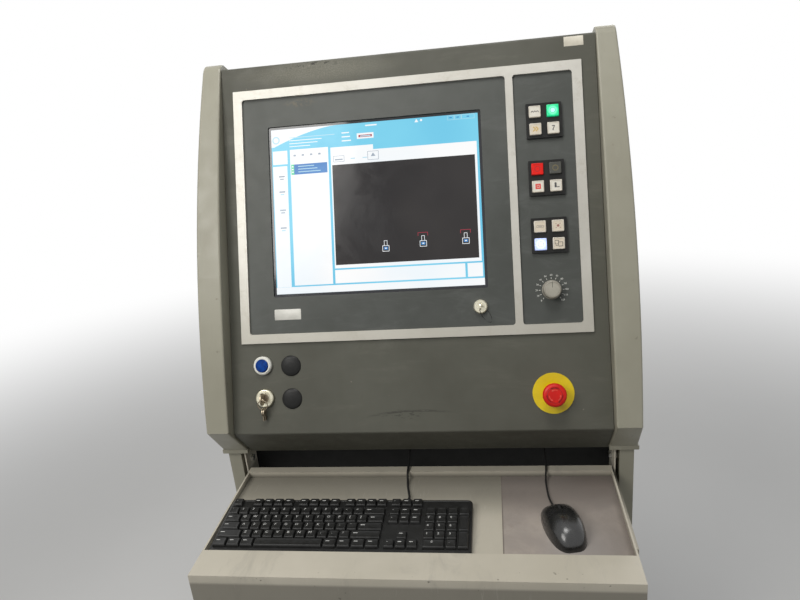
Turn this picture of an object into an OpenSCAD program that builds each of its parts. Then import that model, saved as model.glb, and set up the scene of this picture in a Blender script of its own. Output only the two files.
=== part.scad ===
// Free-standing operator console of a machine: sloped head between two bowed columns, on two posts.
// Lengths are millimetres. The front faces -Y, and Z = 0 is the floor.
// Inside the modules, the centre of the display lies at the origin until console() puts it in place.

/* [Console] */
// Height of the display centre above the floor
screen_height = 1400; // [1300:5:1550]
// Backward lean of the front face from vertical, in degrees
face_tilt = 20.65; // [15:0.05:26]
// Thickness of the sheet metal of the head and the tray
sheet = 2; // [1.5:0.1:3]

/* [Head] */
// Dark border beside the silver frame
face_border = 23.5; // [18:0.5:35]
// Dark border above the silver frame
border_above = 46.35; // [35:0.05:60]
// Height of the field with the round devices below the silver frame
device_field = 165.05; // [155:0.05:190]
// How far the bevel under the face runs back
bevel_back = 60; // [45:1:75]
// How far the bevel under the face drops
bevel_drop = 72; // [60:1:85]
// Distance of the rear wall behind the display centre
head_rear = 165; // [150:1:200]
// Depth of the flat underside behind the bevel
underside_depth = 142; // [120:1:170]
// Rise of the sloped lower rear wall
rear_slope_rise = 120; // [80:1:160]
// Bend radius of the front edges
head_bend = 5; // [3:0.5:8]
// Width of the folded rim around the rear opening
rear_rim = 32; // [25:1:45]

/* [Columns] */
// Width of each side column at its widest place
column_width = 45; // [38:1:55]
// Gap between a column and the face
column_gap = 1; // [0.5:0.1:2]
// How far the column's bow stands in front of the face
column_proud = 34; // [28:1:42]
// Radius of the bow in side view
column_bow_radius = 2830; // [2400:10:3600]
// Place of the bow's crest below the display centre
column_crest = 146; // [120:1:180]
// Radius of the slight bow in front view
column_side_radius = 7500; // [6000:50:12000]
// Rounding of the column's long edges
column_edge = 3; // [2:0.5:5]
// Height of the column's top over the head
column_rise = 8; // [5:0.5:12]

/* [Frame] */
// Width of the silver frame
frame_width = 623; // [600:1:630]
// Height of the silver frame
frame_height = 463.5; // [450:0.5:470]
// Sideways place of the frame's centre
frame_x = -1.5; // [-4:0.5:4]
// Place of the frame's centre along the face
frame_v = -6.7; // [-10:0.1:0]
// Width of the frame's outer rails
frame_rail = 16.5; // [14:0.5:20]
// Width of the bar between the two windows
frame_divider = 13; // [12:0.5:16]
// Width of the right-hand window
button_window = 100; // [96:1:108]
// Thickness of the silver frame
frame_thickness = 4; // [3:0.5:6]
// Thickness of the two panels in the windows
panel_thickness = 3; // [2:0.5:4]

/* [Display] */
// Width of the active area
active_width = 376.3; // [340:0.1:390]
// Height of the active area
active_height = 301.1; // [272:0.1:310]
// Sideways place of the active area's centre
screen_x = -56.7; // [-62:0.1:-50]
// Black margin between the active area and the cut-out
screen_margin = 5; // [3:0.5:8]
// Depth of the display housing
display_depth = 42; // [30:1:60]

/* [Push buttons] */
// Side of a square button block
block_size = 60; // [56:1:64]
// Distance between neighbouring blocks
block_pitch = 98.5; // [90:0.5:104]
// Place of the top block along the face
block_top = 125.5; // [118:0.5:132]
// Distance between neighbouring caps
cap_pitch = 30; // [28:0.5:31]
// Side of a square cap
cap_size = 20; // [18:0.5:22]
// Height of a cap over the panel
cap_proud = 9; // [8:0.5:11]
// Height of the block's rim over the panel
block_proud = 5; // [4:0.5:7]
// Travel of a cap
cap_travel = 3; // [2:0.5:4]

/* [Round devices] */
// Radius of the mounting hole of a round device
device_hole = 11.2; // [11.1:0.1:12]
// Radius of the round bezels
bezel_radius = 16.7; // [15.5:0.1:18]
// Radius of the yellow disc
estop_disc_radius = 34.75; // [30:0.25:45]
// Radius of the mushroom head
estop_head_radius = 19.7; // [18:0.1:22]
// Height of the mushroom's front over the face
estop_proud = 34; // [32:1:40]
// Travel of the mushroom
estop_travel = 5; // [4:0.5:6]
// Radius of a blanking plug
plug_radius = 18.65; // [16:0.05:20]
// Radius of the override knob at its skirt
knob_radius = 16.5; // [14:0.5:18]
// Height of the override knob
knob_height = 20; // [17:0.5:24]

/* [Tray] */
// How far the tray stands out beside the head
tray_overhang = 6; // [0:0.5:8]
// Drop from the head's underside to the tray's rim
tray_drop = 34.4; // [30:0.2:45]
// Depth of the tray's rear rim
tray_rim = 17; // [12:1:25]
// Depth of the sunk floor
tray_floor_depth = 216; // [205:1:240]
// Height of the rim over the sunk floor
tray_sink = 12; // [9:0.5:16]
// Depth of the front ledge
tray_ledge = 57.4; // [45:0.2:75]
// Height of the front apron
tray_apron = 60; // [45:1:80]
// Width of the hemmed side walls
tray_hem = 3; // [2.5:0.1:4]

/* [Stand] */
// Width of a post
post_width = 25; // [22:1:30]
// Depth of a post
post_depth = 80; // [60:1:90]
// Wall of the post and the cross beam tubes
tube_wall = 3; // [2:0.5:4]
// Distance from the side of the head to a post
post_offset = 19.4; // [18:0.2:24]
// Thickness of the flange plate on a post
flange_thickness = 8; // [6:0.5:10]
// Thickness of the tray brackets
bracket_thickness = 3; // [2.5:0.5:4]
// Width of the foot bars
foot_width = 60; // [50:1:80]
// Thickness of the foot bars
foot_thickness = 15; // [12:1:20]
// Length of the foot bars
foot_length = 520; // [480:5:620]
// Radius of the pad of a levelling foot
pad_radius = 25; // [20:1:30]
// Height of the foot bars over the floor
foot_clearance = 32; // [28:1:45]
// Radius of the anchor holes
anchor_radius = 7; // [5:0.5:9]

/* [Keyboard and mouse] */
// Length of the keyboard
keyboard_width = 430; // [428:1:440]
// Depth of the keyboard
keyboard_depth = 128; // [126:1:140]
// Height of the keyboard at its rear edge
keyboard_rear_height = 15; // [12:0.5:18]
// Height of the keyboard at its front edge
keyboard_front_height = 8; // [6:0.5:10]
// Distance between neighbouring keys
key_pitch = 18.6; // [18:0.05:18.7]
// Height of the keys
key_height = 6; // [4:0.5:8]
// Gap between the keyboard and the mouse mat
mat_gap = 48; // [30:1:70]
// Thickness of the mouse mat
mat_thickness = 2; // [1:0.5:3]
// Half the length of the mouse
mouse_half = 50; // [45:1:55]
// Half the width of the mouse
mouse_half_width = 30.5; // [26:0.5:33]
// Height of the mouse
mouse_height = 34; // [30:0.5:38]
// Turn of the mouse on its mat, in degrees
mouse_turn = 12; // [0:1:25]

/* [Hidden] */
$fn = 48;

// Fits
slide_gap = 0.3;
running_gap = 0.05;
hole_gap = 0.2;
skin = 0.5;
bend_overlap = 0.02;

// Size of the dark front face
face_width = frame_width + 2 * face_border;
frame_top = frame_v + frame_height / 2;
frame_foot = frame_v - frame_height / 2;
frame_left = frame_x - frame_width / 2;
frame_right = frame_x + frame_width / 2;
face_above = frame_top + border_above;
face_below = device_field - frame_foot;

// Points of the head's side outline, as [y, z]
function face_point(v, off = 0) = [
    v * sin(face_tilt) - off * cos(face_tilt),
    v * cos(face_tilt) + off * sin(face_tilt)
];
face_top = face_point(face_above);
face_foot = face_point(-face_below);
bevel_end = face_foot + [bevel_back, -bevel_drop];
underside_z = bevel_end[1];
underside_rear = bevel_end[0] + underside_depth;
head_back_top = face_top[1] - (head_rear - face_top[0]) * tan(face_tilt);
head_outline = [
    face_top,
    face_foot,
    bevel_end,
    [underside_rear, underside_z],
    [head_rear, underside_z + rear_slope_rise],
    [head_rear, head_back_top]
];
head_half = face_width / 2;

// Rear opening and its cover
cover_bottom = underside_z + rear_slope_rise + rear_rim;
cover_top = head_back_top - rear_rim;
cover_half = head_half - rear_rim;
cover_lap = 15;
cover_screw_inset = 7;
louvre_count = 7;
louvre_width = 110;
louvre_height = 5;
louvre_pitch = 14;

// Columns, flanges and posts
column_inner = head_half + column_gap;
column_top = face_top[1] + column_rise;
column_top_round = 12;
column_lean_height = 90;
foot_flare = 8;
column_corner = face_below - 3.5;
flange_front = bevel_end[0] - 17.7;
flange_top = underside_z + 13.9;
flange_bottom = flange_top - flange_thickness;
flange_length = 140;
flange_side = 5;
post_inner = head_half + post_offset;
post_outer = post_inner + post_width;
post_middle = (post_inner + post_outer) / 2;
post_front = flange_front + 9;
post_rear = post_front + post_depth;
column_rear = head_rear + 3;
pad_size = 40;
pad_depth = 45;
pad_rise = 200;
pad_drop = 60;
pad_places = [for (z = [underside_z + pad_rise, face_top[1] - pad_drop]) [head_rear - pad_depth, z]];

// Windows of the frame, as [left, right], and their common height
window_bottom = frame_foot + frame_rail;
window_top = frame_top - frame_rail;
button_right = frame_right - frame_rail;
button_left = button_right - button_window;
screen_left = frame_left + frame_rail;
screen_right = button_left - frame_divider;
panel_lap = 7;
panel_inner_lap = 3.5;
block_x = (button_left + button_right) / 2;
window_round = 5;
frame_round = 1;

// Display behind its panel
cutout_width = active_width + 2 * screen_margin;
cutout_height = active_height + 2 * screen_margin;
glass_thickness = 3;
glass_lap = 6;

// Button blocks
block_back = 30;
block_body = block_size - 6;
cap_tail = 14;
well_gap = 0.3;
cap_step = 0.8;
block_places = [for (i = [0:2]) block_top - i * block_pitch];
cap_places = [
    [-cap_pitch / 2, cap_pitch / 2],
    [cap_pitch / 2, cap_pitch / 2],
    [-cap_pitch / 2, -cap_pitch / 2],
    [cap_pitch / 2, -cap_pitch / 2]
];

// Places of the round devices on the face, as [x, v]
knob_drop = 93;
knob_place = [block_x, block_places[2] - knob_drop];
lamp_place = [frame_left + 38.5, frame_foot - 40.05];
key_place = [frame_left + 40.4, frame_foot - 99.15];
plug_places = [for (drop = [41.85, 101.05]) [frame_left + 90.5, frame_foot - drop]];
estop_place = [frame_right - 71.7, frame_foot - 101.75];
lock_place = [screen_right - 58.5, (window_bottom - cutout_height / 2) / 2 + 0.75];

// Round devices: heights are measured from the face, negative values lie behind it
barrel_radius = 11;
barrel_back = 30;
stem_radius = 8;
contact_width = 30;
contact_height = 42;
contact_depth = 34;
lamp_proud = 8;
lamp_pocket = 2;
lamp_travel = 4;
key_proud = 7;
bow_thickness = 2.6;
bow_radius = 11;
bow_out = 20;
bow_hole = 3.5;
ring_radius = 9;
ring_wire = 0.9;
disc_thickness = 1.5;
collar_radius = 15;
collar_proud = 7;
spigot_radius = 6;
spigot_end = 27;
lock_radius = 12;
lock_proud = 6;
lock_core_radius = 7.5;
shaft_radius = 3;
knob_gap = 0.5;

// Tray
rim_rear = flange_front + 13;
rim_top = underside_z - tray_drop;
rim_front = rim_rear - tray_rim;
floor_top = rim_top - tray_sink;
floor_front = rim_front - tray_floor_depth;
tray_front = floor_front - tray_ledge;
apron_bottom = rim_top - tray_apron;
tray_half = head_half + tray_overhang;
tray_inner = tray_half - tray_hem;
bracket_inner = head_half + 10;
bracket_front = floor_front + 30;
bracket_lip = 32;
bracket_depth = 50;
arm_height = 42;

// Stand
floor_z = -screen_height;
foot_bottom = floor_z + foot_clearance;
foot_top = foot_bottom + foot_thickness;
foot_middle = (head_rear + 25 + tray_front + 47) / 2;
anchor_offset = foot_length / 2 - 70;
pad_offset = foot_length / 2 - 25;
stud_radius = 6;
nut_height = 9;
nut_radius = 11;
pad_height = 10;
beam_height = 60;
beam_depth = 40;
beam_bottom = foot_top + 110;
beam_rear = post_rear - 19;
panel_flange = 18;
closing_sheet = 1.5;

// Keyboard, mat and mouse
keyboard_left = -tray_inner + 3;
keyboard_front = floor_front + 0.5;
keyboard_rear = keyboard_front + keyboard_depth;
block_gap = 6;
mat_left = keyboard_left + keyboard_width + mat_gap;
mat_top = floor_top + mat_thickness;
mouse_x = (mat_left + tray_inner) / 2 + 0.5;
mouse_y = floor_front + 65;
mouse_wall = 2;
mouse_split = 6;
button_floor = 11;
wheel_radius = 11;
wheel_width = 6;
wheel_y = 27;
wheel_z = 18.5;

// Cords: the route's points, first where it leaves its device, last at its grommet
keyboard_cord_radius = 2;
keyboard_cord_side = 317;
keyboard_cord_x = keyboard_left + keyboard_cord_side;
keyboard_cord_out = [keyboard_cord_x, keyboard_rear + 10, floor_top + 8];
keyboard_cord_route = [
    keyboard_cord_out,
    [keyboard_cord_x, keyboard_rear + 20, floor_top + 6],
    [keyboard_cord_x - 3, keyboard_rear + 35, floor_top + 3],
    [keyboard_cord_x - 7, keyboard_rear + 55, floor_top + 3],
    [keyboard_cord_x - 9, rim_front - 16, floor_top + 6],
    [keyboard_cord_x - 10, rim_front - 3, rim_top + 2],
    [keyboard_cord_x - 10, rim_rear - 4, rim_top + 5],
    [keyboard_cord_x - 10, rim_rear + 15, rim_top + 10],
    [keyboard_cord_x - 10, rim_rear + 30, rim_top + 17],
    [keyboard_cord_x - 10, rim_rear + 37, underside_z - 9],
    [keyboard_cord_x - 10, rim_rear + 38, underside_z - 4]
];
mouse_cord_radius = 1.6;
mouse_cord_out = [
    mouse_x - (mouse_half + 9) * sin(mouse_turn),
    mouse_y + (mouse_half + 9) * cos(mouse_turn),
    mat_top + 6
];
mouse_cord_route = [
    mouse_cord_out,
    mouse_cord_out + [-3, 11, -1],
    [mouse_x - 18, mouse_y + 90, mat_top + 3],
    [mouse_x - 19, rim_front - 22, mat_top + 4],
    [mouse_x - 17, rim_front - 3, rim_top + 2],
    [mouse_x - 16, rim_rear - 4, rim_top + 5],
    [mouse_x - 16, rim_rear + 15, rim_top + 10],
    [mouse_x - 16, rim_rear + 30, rim_top + 17],
    [mouse_x - 16, rim_rear + 37, underside_z - 9],
    [mouse_x - 16, rim_rear + 38, underside_z - 4]
];
grommet_radius = 8;
grommet_drop = 4;

// Screws
screw_radius = 2.5;
screw_head = 4.6;
screw_head_height = 2.6;
bolt_radius = 4;
bolt_head = 6.5;
bolt_head_height = 5;

// Vectors and outlines
function unit(v) = v / norm(v);
function left_normal(a, b) = let (u = unit(b - a)) [-u[1], u[0]];
function crossing(p, u, q, w) =
    p + u * (((q[0] - p[0]) * w[1] - (q[1] - p[1]) * w[0]) / (u[0] * w[1] - u[1] * w[0]));
function at(list, i) = list[(i + len(list)) % len(list)];

// Closed outline moved inwards by a distance; the points run anticlockwise
function inset(points, distance) = [
    for (i = [0:len(points) - 1])
        let (a = at(points, i - 1), b = points[i], c = at(points, i + 1))
            crossing(b + distance * left_normal(a, b), b - a,
                b + distance * left_normal(b, c), c - b)
];

// Open line moved sideways by a distance, for folded sheet
function beside(points, distance) = let (last = len(points) - 1) [
    for (i = [0:last])
        i == 0 ? points[0] + distance * left_normal(points[0], points[1])
        : i == last ? points[last] + distance * left_normal(points[last - 1], points[last])
        : crossing(points[i] + distance * left_normal(points[i - 1], points[i]),
            points[i] - points[i - 1],
            points[i] + distance * left_normal(points[i], points[i + 1]),
            points[i + 1] - points[i])
];
function reversed(list) = [for (i = [len(list) - 1:-1:0]) list[i]];
function folded(points, thickness) = concat(points, reversed(beside(points, thickness)));
function flat_list(list) = [for (part = list) for (item = part) item];

// Solid through a stack of rings with equal numbers of points
module loft(rings) {
    count = len(rings[0]);
    last = len(rings) - 1;
    sides = [
        for (i = [0:last - 1], j = [0:count - 1])
            let (a = i * count + j, b = i * count + (j + 1) % count)
                each [[a, a + count, b + count], [a, b + count, b]]
    ];
    first_cap = [for (j = [0:count - 1]) j];
    last_cap = [for (j = [count - 1:-1:0]) last * count + j];
    polyhedron(flat_list(rings), concat(sides, [first_cap, last_cap]));
}

// Tube along a route that never runs parallel to X
function tangent(route, i) =
    let (a = route[max(i - 1, 0)], b = route[min(i + 1, len(route) - 1)]) unit(b - a);
function tube_ring(centre, along, radius, sides) =
    let (u = unit(cross(along, [1, 0, 0])), w = cross(along, u))
        [for (j = [0:sides - 1]) centre + radius * (cos(360 * j / sides) * u + sin(360 * j / sides) * w)];
module tube(route, radius, sides) {
    loft([for (i = [0:len(route) - 1]) tube_ring(route[i], tangent(route, i), radius, sides)]);
}

// Smooth curve through the route's points, with two steps between neighbours
function curve_point(a, b, c, d, t) = 0.5 * (
    2 * b + (c - a) * t + (2 * a - 5 * b + 4 * c - d) * t * t
    + (3 * b - a - 3 * c + d) * t * t * t);
function smoothed(route) = let (last = len(route) - 1) [
    for (i = [0:last - 1], t = [0, 0.5])
        curve_point(route[max(i - 1, 0)], route[i], route[i + 1], route[min(i + 2, last)], t),
    route[last]
];

// Frames
module console() {
    middle_y = (tray_front + max(foot_middle + foot_length / 2, head_rear + 8)) / 2;
    translate([0, -middle_y, screen_height]) children();
}
module on_face(x = 0, v = 0, off = 0) {
    rotate([90 - face_tilt, 0, 0]) translate([x, v, off]) children();
}
module side_extrude(left, right) {
    translate([left, 0, 0]) rotate([90, 0, 90]) linear_extrude(right - left) children();
}
module both_sides() {
    children();
    mirror([1, 0, 0]) children();
}
module slab(x, y, z) {
    translate([x[0], y[0], z[0]]) cube([x[1] - x[0], y[1] - y[0], z[1] - z[0]]);
}
module rod_x(left, right, radius) {
    translate([left, 0, 0]) rotate([0, 90, 0]) cylinder(h = right - left, r = radius);
}
module rod_y(front, rear, radius) {
    translate([0, rear, 0]) rotate([90, 0, 0]) cylinder(h = rear - front, r = radius);
}
module rod_z(bottom, top, radius) {
    translate([0, 0, bottom]) cylinder(h = top - bottom, r = radius);
}
module rounded_area(width, height, radius) {
    square([width - 2 * radius, height], center = true);
    square([width, height - 2 * radius], center = true);
    for (x = [-1, 1], y = [-1, 1])
        translate([x * (width / 2 - radius), y * (height / 2 - radius)]) circle(radius);
}

// Sharp stretch that is cut off where an outline bends with a radius
module bend_waste(before, corner, after, radius) {
    u = unit(before - corner);
    w = unit(after - corner);
    half = acos(u * w) / 2;
    reach = radius / tan(half);
    centre = corner + unit(u + w) * radius / sin(half);
    difference() {
        polygon([corner - skin * unit(u + w), corner + reach * u, centre, corner + reach * w]);
        translate(centre) circle(radius + bend_overlap, $fn = 96);
    }
}

// Head
module head_profile() {
    difference() {
        polygon(head_outline);
        for (i = [0:2])
            bend_waste(at(head_outline, i - 1), head_outline[i], head_outline[i + 1], head_bend);
    }
}
module window_hole(left, right, back, front, extra) {
    on_face((left + right) / 2, (window_bottom + window_top) / 2, back)
        linear_extrude(front - back)
            square([right - left, window_top - window_bottom + 2 * extra], center = true);
}
module face_hole(place, radius) {
    on_face(place[0], place[1], -sheet - 1) cylinder(h = sheet + 2, r = radius);
}
module head_shell() {
    color([0.24, 0.24, 0.21])
        difference() {
            side_extrude(-head_half, head_half) head_profile();
            side_extrude(-head_half + sheet, head_half - sheet) polygon(inset(head_outline, sheet));
            window_hole(screen_left - panel_lap - skin, screen_right + panel_inner_lap + skin,
                -sheet - 1, 1, panel_lap + skin);
            window_hole(button_left - panel_inner_lap - skin, button_right + panel_lap + skin,
                -sheet - 1, 1, panel_lap + skin);
            for (place = concat([lamp_place, key_place, estop_place], plug_places))
                face_hole(place, device_hole);
            slab([-cover_half, cover_half], [head_rear - sheet - 1, head_rear + 1],
                [cover_bottom, cover_top]);
            for (route = [keyboard_cord_route, mouse_cord_route])
                grommet_place(route) rod_z(-1, sheet + 1, grommet_radius - 2 + hole_gap);
            cover_screw_places()
                rod_y(-sheet - 1, 1, screw_radius + hole_gap);
            both_sides()
                for (place = pad_places)
                    translate([0, place[0], place[1]])
                        rod_x(head_half - sheet - 1, head_half + 1, bolt_radius + hole_gap);
        }
}

// Rear cover with rows of louvre slots, screwed to the folded rim
module cover_screw_places() {
    inset_x = cover_half + cover_lap - cover_screw_inset;
    top = cover_top + cover_lap - cover_screw_inset;
    bottom = cover_bottom - cover_lap + cover_screw_inset;
    for (x = [-inset_x, 0, inset_x], z = [bottom, top])
        translate([x, head_rear, z]) children();
    for (x = [-inset_x, inset_x])
        translate([x, head_rear, (bottom + top) / 2]) children();
}
module rear_cover() {
    color([0.24, 0.24, 0.21])
        difference() {
            slab([-cover_half - cover_lap, cover_half + cover_lap], [head_rear, head_rear + sheet],
                [cover_bottom - cover_lap, cover_top + cover_lap]);
            cover_screw_places() rod_y(-1, sheet + 1, screw_radius + hole_gap);
            for (side = [-1, 1], i = [0:louvre_count - 1])
                translate([side * cover_half / 2, head_rear, cover_top - 40 - i * louvre_pitch])
                    slab([-louvre_width / 2, louvre_width / 2], [-1, sheet + 1],
                        [-louvre_height / 2, louvre_height / 2]);
        }
}

// Columns: sections from the flared, chamfered foot to the rounded top, which lies square to the face
function bow_front(z) =
    let (c = face_point(-column_crest, column_proud - column_bow_radius))
        c[0] - sqrt(pow(column_bow_radius, 2) - pow(z - c[1], 2));
column_corner_z = crossing(
    [flange_front, flange_top], [-bevel_back, bevel_drop],
    [bow_front(face_point(-column_corner)[1]), face_point(-column_corner)[1]],
    face_point(1)
)[1];
function round_over(z) =
    let (rise = z - (column_top - column_top_round))
        rise <= 0 ? 0 : column_top_round - sqrt(max(pow(column_top_round, 2) - rise * rise, 0));
function column_front(z) =
    z < column_corner_z
        ? flange_front - (z - flange_top) * bevel_back / bevel_drop
        : bow_front(z) + round_over(z);
column_knee_z = underside_z + rear_slope_rise;
function column_back(z) =
    (z < column_knee_z
        ? underside_rear + (z - underside_z) * (head_rear - underside_rear) / rear_slope_rise
        : head_rear) + 3 - round_over(z) / 2;
function column_outer(z) =
    column_inner + column_width
    - (column_side_radius - sqrt(pow(column_side_radius, 2) - pow(z + column_crest, 2)))
    + foot_flare * max(0, (column_corner_z - z) / (column_corner_z - flange_top));
function lean(z) = tan(face_tilt) * max(0, 1 - (column_top - z) / column_lean_height);
function corner_arc(centre, radius, start, z) =
    [for (a = [start:30:start + 90]) [centre[0] + radius * cos(a), centre[1] + radius * sin(a), z]];
function column_ring(z) =
    let (r = column_edge, x0 = column_inner, x1 = column_outer(z), y0 = column_front(z), y1 = column_back(z))
    let (level = concat(
        corner_arc([x1 - r, y1 - r], r, 0, z),
        corner_arc([x0 + r, y1 - r], r, 90, z),
        corner_arc([x0 + r, y0 + r], r, 180, z),
        corner_arc([x1 - r, y0 + r], r, 270, z)
    ))
        [for (p = level) p - [0, 0, lean(z) * (p[1] - y0)]];
column_levels = concat(
    [flange_top, column_corner_z, column_knee_z],
    [for (i = [1:15])
        column_knee_z + (column_top - column_top_round - column_knee_z) * i / 15],
    [for (a = [25, 45, 62, 76, 90]) column_top - column_top_round * (1 - sin(a))]
);
module column() {
    difference() {
        union() {
            loft([for (z = column_levels) column_ring(z)]);
            for (place = pad_places)
                slab([head_half, column_inner + 1],
                    [place[0] - pad_size / 2, place[0] + pad_size / 2],
                    [place[1] - pad_size / 2, place[1] + pad_size / 2]);
        }
        for (place = pad_places)
            translate([0, place[0], place[1]])
                rod_x(head_half - 1, head_half + 18, bolt_radius + hole_gap);
        flange_bolt_places() rod_z(flange_top - 1, flange_top + 16, bolt_radius + hole_gap);
    }
}
module right_column() {
    color([0.66, 0.65, 0.61]) column();
}
module left_column() {
    color([0.66, 0.65, 0.61]) mirror([1, 0, 0]) column();
}

// Posts with their flange plates
module flange_bolt_places() {
    for (y = [post_rear + 14, post_rear + 36])
        translate([column_inner + column_width / 2, y, 0]) children();
}
module post() {
    difference() {
        union() {
            slab([post_inner, post_outer], [post_front, post_rear], [foot_top, flange_bottom + skin]);
            slab([head_half + 0.3, column_inner + column_width + flange_side],
                [flange_front, flange_front + flange_length], [flange_bottom, flange_top]);
        }
        slab([post_inner + tube_wall, post_outer - tube_wall],
            [post_front + tube_wall, post_rear - tube_wall], [foot_top - 1, flange_bottom]);
        flange_bolt_places() rod_z(flange_bottom - 1, flange_top + 1, bolt_radius + hole_gap);
        bracket_bolt_places() rod_x(post_inner - 1, post_inner + tube_wall + 1, bolt_radius + hole_gap);
    }
}
module right_post() {
    color([0.66, 0.65, 0.61]) post();
}
module left_post() {
    color([0.66, 0.65, 0.61]) mirror([1, 0, 0]) post();
}

// Tray brackets: an upright plate on the post, an arm and a lip under the tray
module bracket_bolt_places() {
    for (z = [flange_bottom - 30, floor_top - 25])
        translate([0, post_front + bracket_depth / 2, z]) children();
}
module tray_screw_places() {
    for (y = [floor_front + 60, rim_front - 30])
        translate([bracket_inner - bracket_lip + 12, y, 0]) children();
}
module bracket() {
    lip_top = floor_top - sheet;
    difference() {
        union() {
            side_extrude(bracket_inner, bracket_inner + bracket_thickness)
                polygon([
                    [post_front, flange_bottom],
                    [post_front, lip_top],
                    [bracket_front, lip_top],
                    [bracket_front, lip_top - 18],
                    [post_front, lip_top - arm_height],
                    [post_front + bracket_depth, lip_top - arm_height],
                    [post_front + bracket_depth, flange_bottom]
                ]);
            slab([bracket_inner - bracket_lip, bracket_inner + skin], [bracket_front, rim_front],
                [lip_top - bracket_thickness, lip_top]);
            bracket_bolt_places()
                rod_x(bracket_inner + bracket_thickness - skin, post_inner, bolt_radius + 4);
        }
        bracket_bolt_places() rod_x(bracket_inner - 1, post_inner + 1, bolt_radius + hole_gap);
        tray_screw_places()
            rod_z(lip_top - bracket_thickness - 1, lip_top + 1, screw_radius + hole_gap);
    }
}
module right_tray_bracket() {
    color([0.6, 0.59, 0.56]) bracket();
}
module left_tray_bracket() {
    color([0.6, 0.59, 0.56]) mirror([1, 0, 0]) bracket();
}

// Tray: one folded sheet with hemmed side walls
module tray() {
    fold = [
        [rim_rear - sheet, rim_top - tray_sink],
        [rim_rear - sheet, rim_top - sheet],
        [rim_front + sheet, rim_top - sheet],
        [rim_front + sheet, floor_top - sheet],
        [floor_front - sheet, floor_top - sheet],
        [floor_front - sheet, rim_top - sheet],
        [tray_front + sheet, rim_top - sheet],
        [tray_front + sheet, apron_bottom + sheet],
        [tray_front + 18, apron_bottom + sheet]
    ];
    wall = [
        [rim_rear, rim_top],
        [tray_front, rim_top],
        [tray_front, apron_bottom],
        [tray_front + 18, apron_bottom],
        [floor_front, floor_top - sheet - 10],
        [floor_front + 12, floor_top - sheet],
        [rim_rear, floor_top - sheet]
    ];
    color([0.68, 0.66, 0.62])
        difference() {
            union() {
                side_extrude(-tray_inner - skin, tray_inner + skin) polygon(folded(fold, -sheet));
                side_extrude(-tray_half, -tray_inner) polygon(wall);
                side_extrude(tray_inner, tray_half) polygon(wall);
            }
            both_sides()
                tray_screw_places() rod_z(floor_top - sheet - 1, floor_top - 0.6, screw_radius + hole_gap);
        }
}

// Foot bars, feet and cross beam
module foot_pads(offset) {
    for (side = [-1, 1])
        translate([post_middle, foot_middle + side * offset, 0]) children();
}
module foot_bar() {
    difference() {
        slab([post_middle - foot_width / 2, post_middle + foot_width / 2],
            [foot_middle - foot_length / 2, foot_middle + foot_length / 2], [foot_bottom, foot_top]);
        foot_pads(anchor_offset) rod_z(foot_bottom - 1, foot_top + 1, anchor_radius);
        foot_pads(pad_offset) rod_z(foot_bottom - 1, foot_top + 1, stud_radius + hole_gap);
    }
}
module right_foot_bar() {
    color([0.66, 0.65, 0.61]) foot_bar();
}
module left_foot_bar() {
    color([0.66, 0.65, 0.61]) mirror([1, 0, 0]) foot_bar();
}
module levelling_feet() {
    color([0.25, 0.25, 0.26])
        both_sides()
            foot_pads(pad_offset)
                translate([0, 0, floor_z])
                    rotate_extrude()
                        polygon([
                            [0, 0],
                            [pad_radius, 0],
                            [pad_radius, pad_height / 2],
                            [nut_radius, pad_height],
                            [stud_radius, pad_height],
                            [stud_radius, foot_clearance + foot_thickness + nut_height + 6],
                            [0, foot_clearance + foot_thickness + nut_height + 6]
                        ]);
}
module cross_beam() {
    color([0.66, 0.65, 0.61])
        difference() {
            slab([-post_inner, post_inner], [beam_rear - beam_depth, beam_rear],
                [beam_bottom, beam_bottom + beam_height]);
            slab([-post_inner - 1, post_inner + 1],
                [beam_rear - beam_depth + tube_wall, beam_rear - tube_wall],
                [beam_bottom + tube_wall, beam_bottom + beam_height - tube_wall]);
        }
}

// Dark sheet that closes the space between the posts
module lower_panel() {
    channel = [
        [-post_inner, beam_rear + panel_flange],
        [-post_inner, beam_rear],
        [post_inner, beam_rear],
        [post_inner, beam_rear + panel_flange]
    ];
    color([0.1, 0.1, 0.1])
        translate([0, 0, beam_bottom])
            linear_extrude(underside_z - beam_bottom) polygon(folded(channel, closing_sheet));
}

// Silver frame and the panels in its windows
module frame_area() {
    difference() {
        translate([frame_x, frame_v]) rounded_area(frame_width, frame_height, frame_round);
        translate([(screen_left + screen_right) / 2, (window_bottom + window_top) / 2])
            rounded_area(screen_right - screen_left, window_top - window_bottom, window_round);
        translate([(button_left + button_right) / 2, (window_bottom + window_top) / 2])
            rounded_area(button_right - button_left, window_top - window_bottom, window_round);
    }
}
module bezel_frame() {
    color([0.78, 0.77, 0.73]) on_face() linear_extrude(frame_thickness) frame_area();
}
module screen_panel() {
    color([0.25, 0.27, 0.28])
        difference() {
            window_hole(screen_left - panel_lap, screen_right + panel_inner_lap,
                -panel_thickness, 0, panel_lap);
            on_face(screen_x, 0, -panel_thickness - 1)
                linear_extrude(panel_thickness + 2) rounded_area(cutout_width, cutout_height, 3);
            on_face(lock_place[0], lock_place[1], -panel_thickness - 1)
                cylinder(h = panel_thickness + 2, r = lock_radius - 2 + hole_gap);
        }
}
module button_panel() {
    hole = block_body + 2 * well_gap;
    color([0.25, 0.27, 0.28])
        difference() {
            window_hole(button_left - panel_inner_lap, button_right + panel_lap,
                -panel_thickness, 0, panel_lap);
            for (v = block_places)
                on_face(block_x, v, -panel_thickness - 1)
                    linear_extrude(panel_thickness + 2) square(hole, center = true);
            on_face(knob_place[0], knob_place[1], -panel_thickness - 1)
                cylinder(h = panel_thickness + 2, r = shaft_radius + 2 + hole_gap);
        }
}

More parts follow.
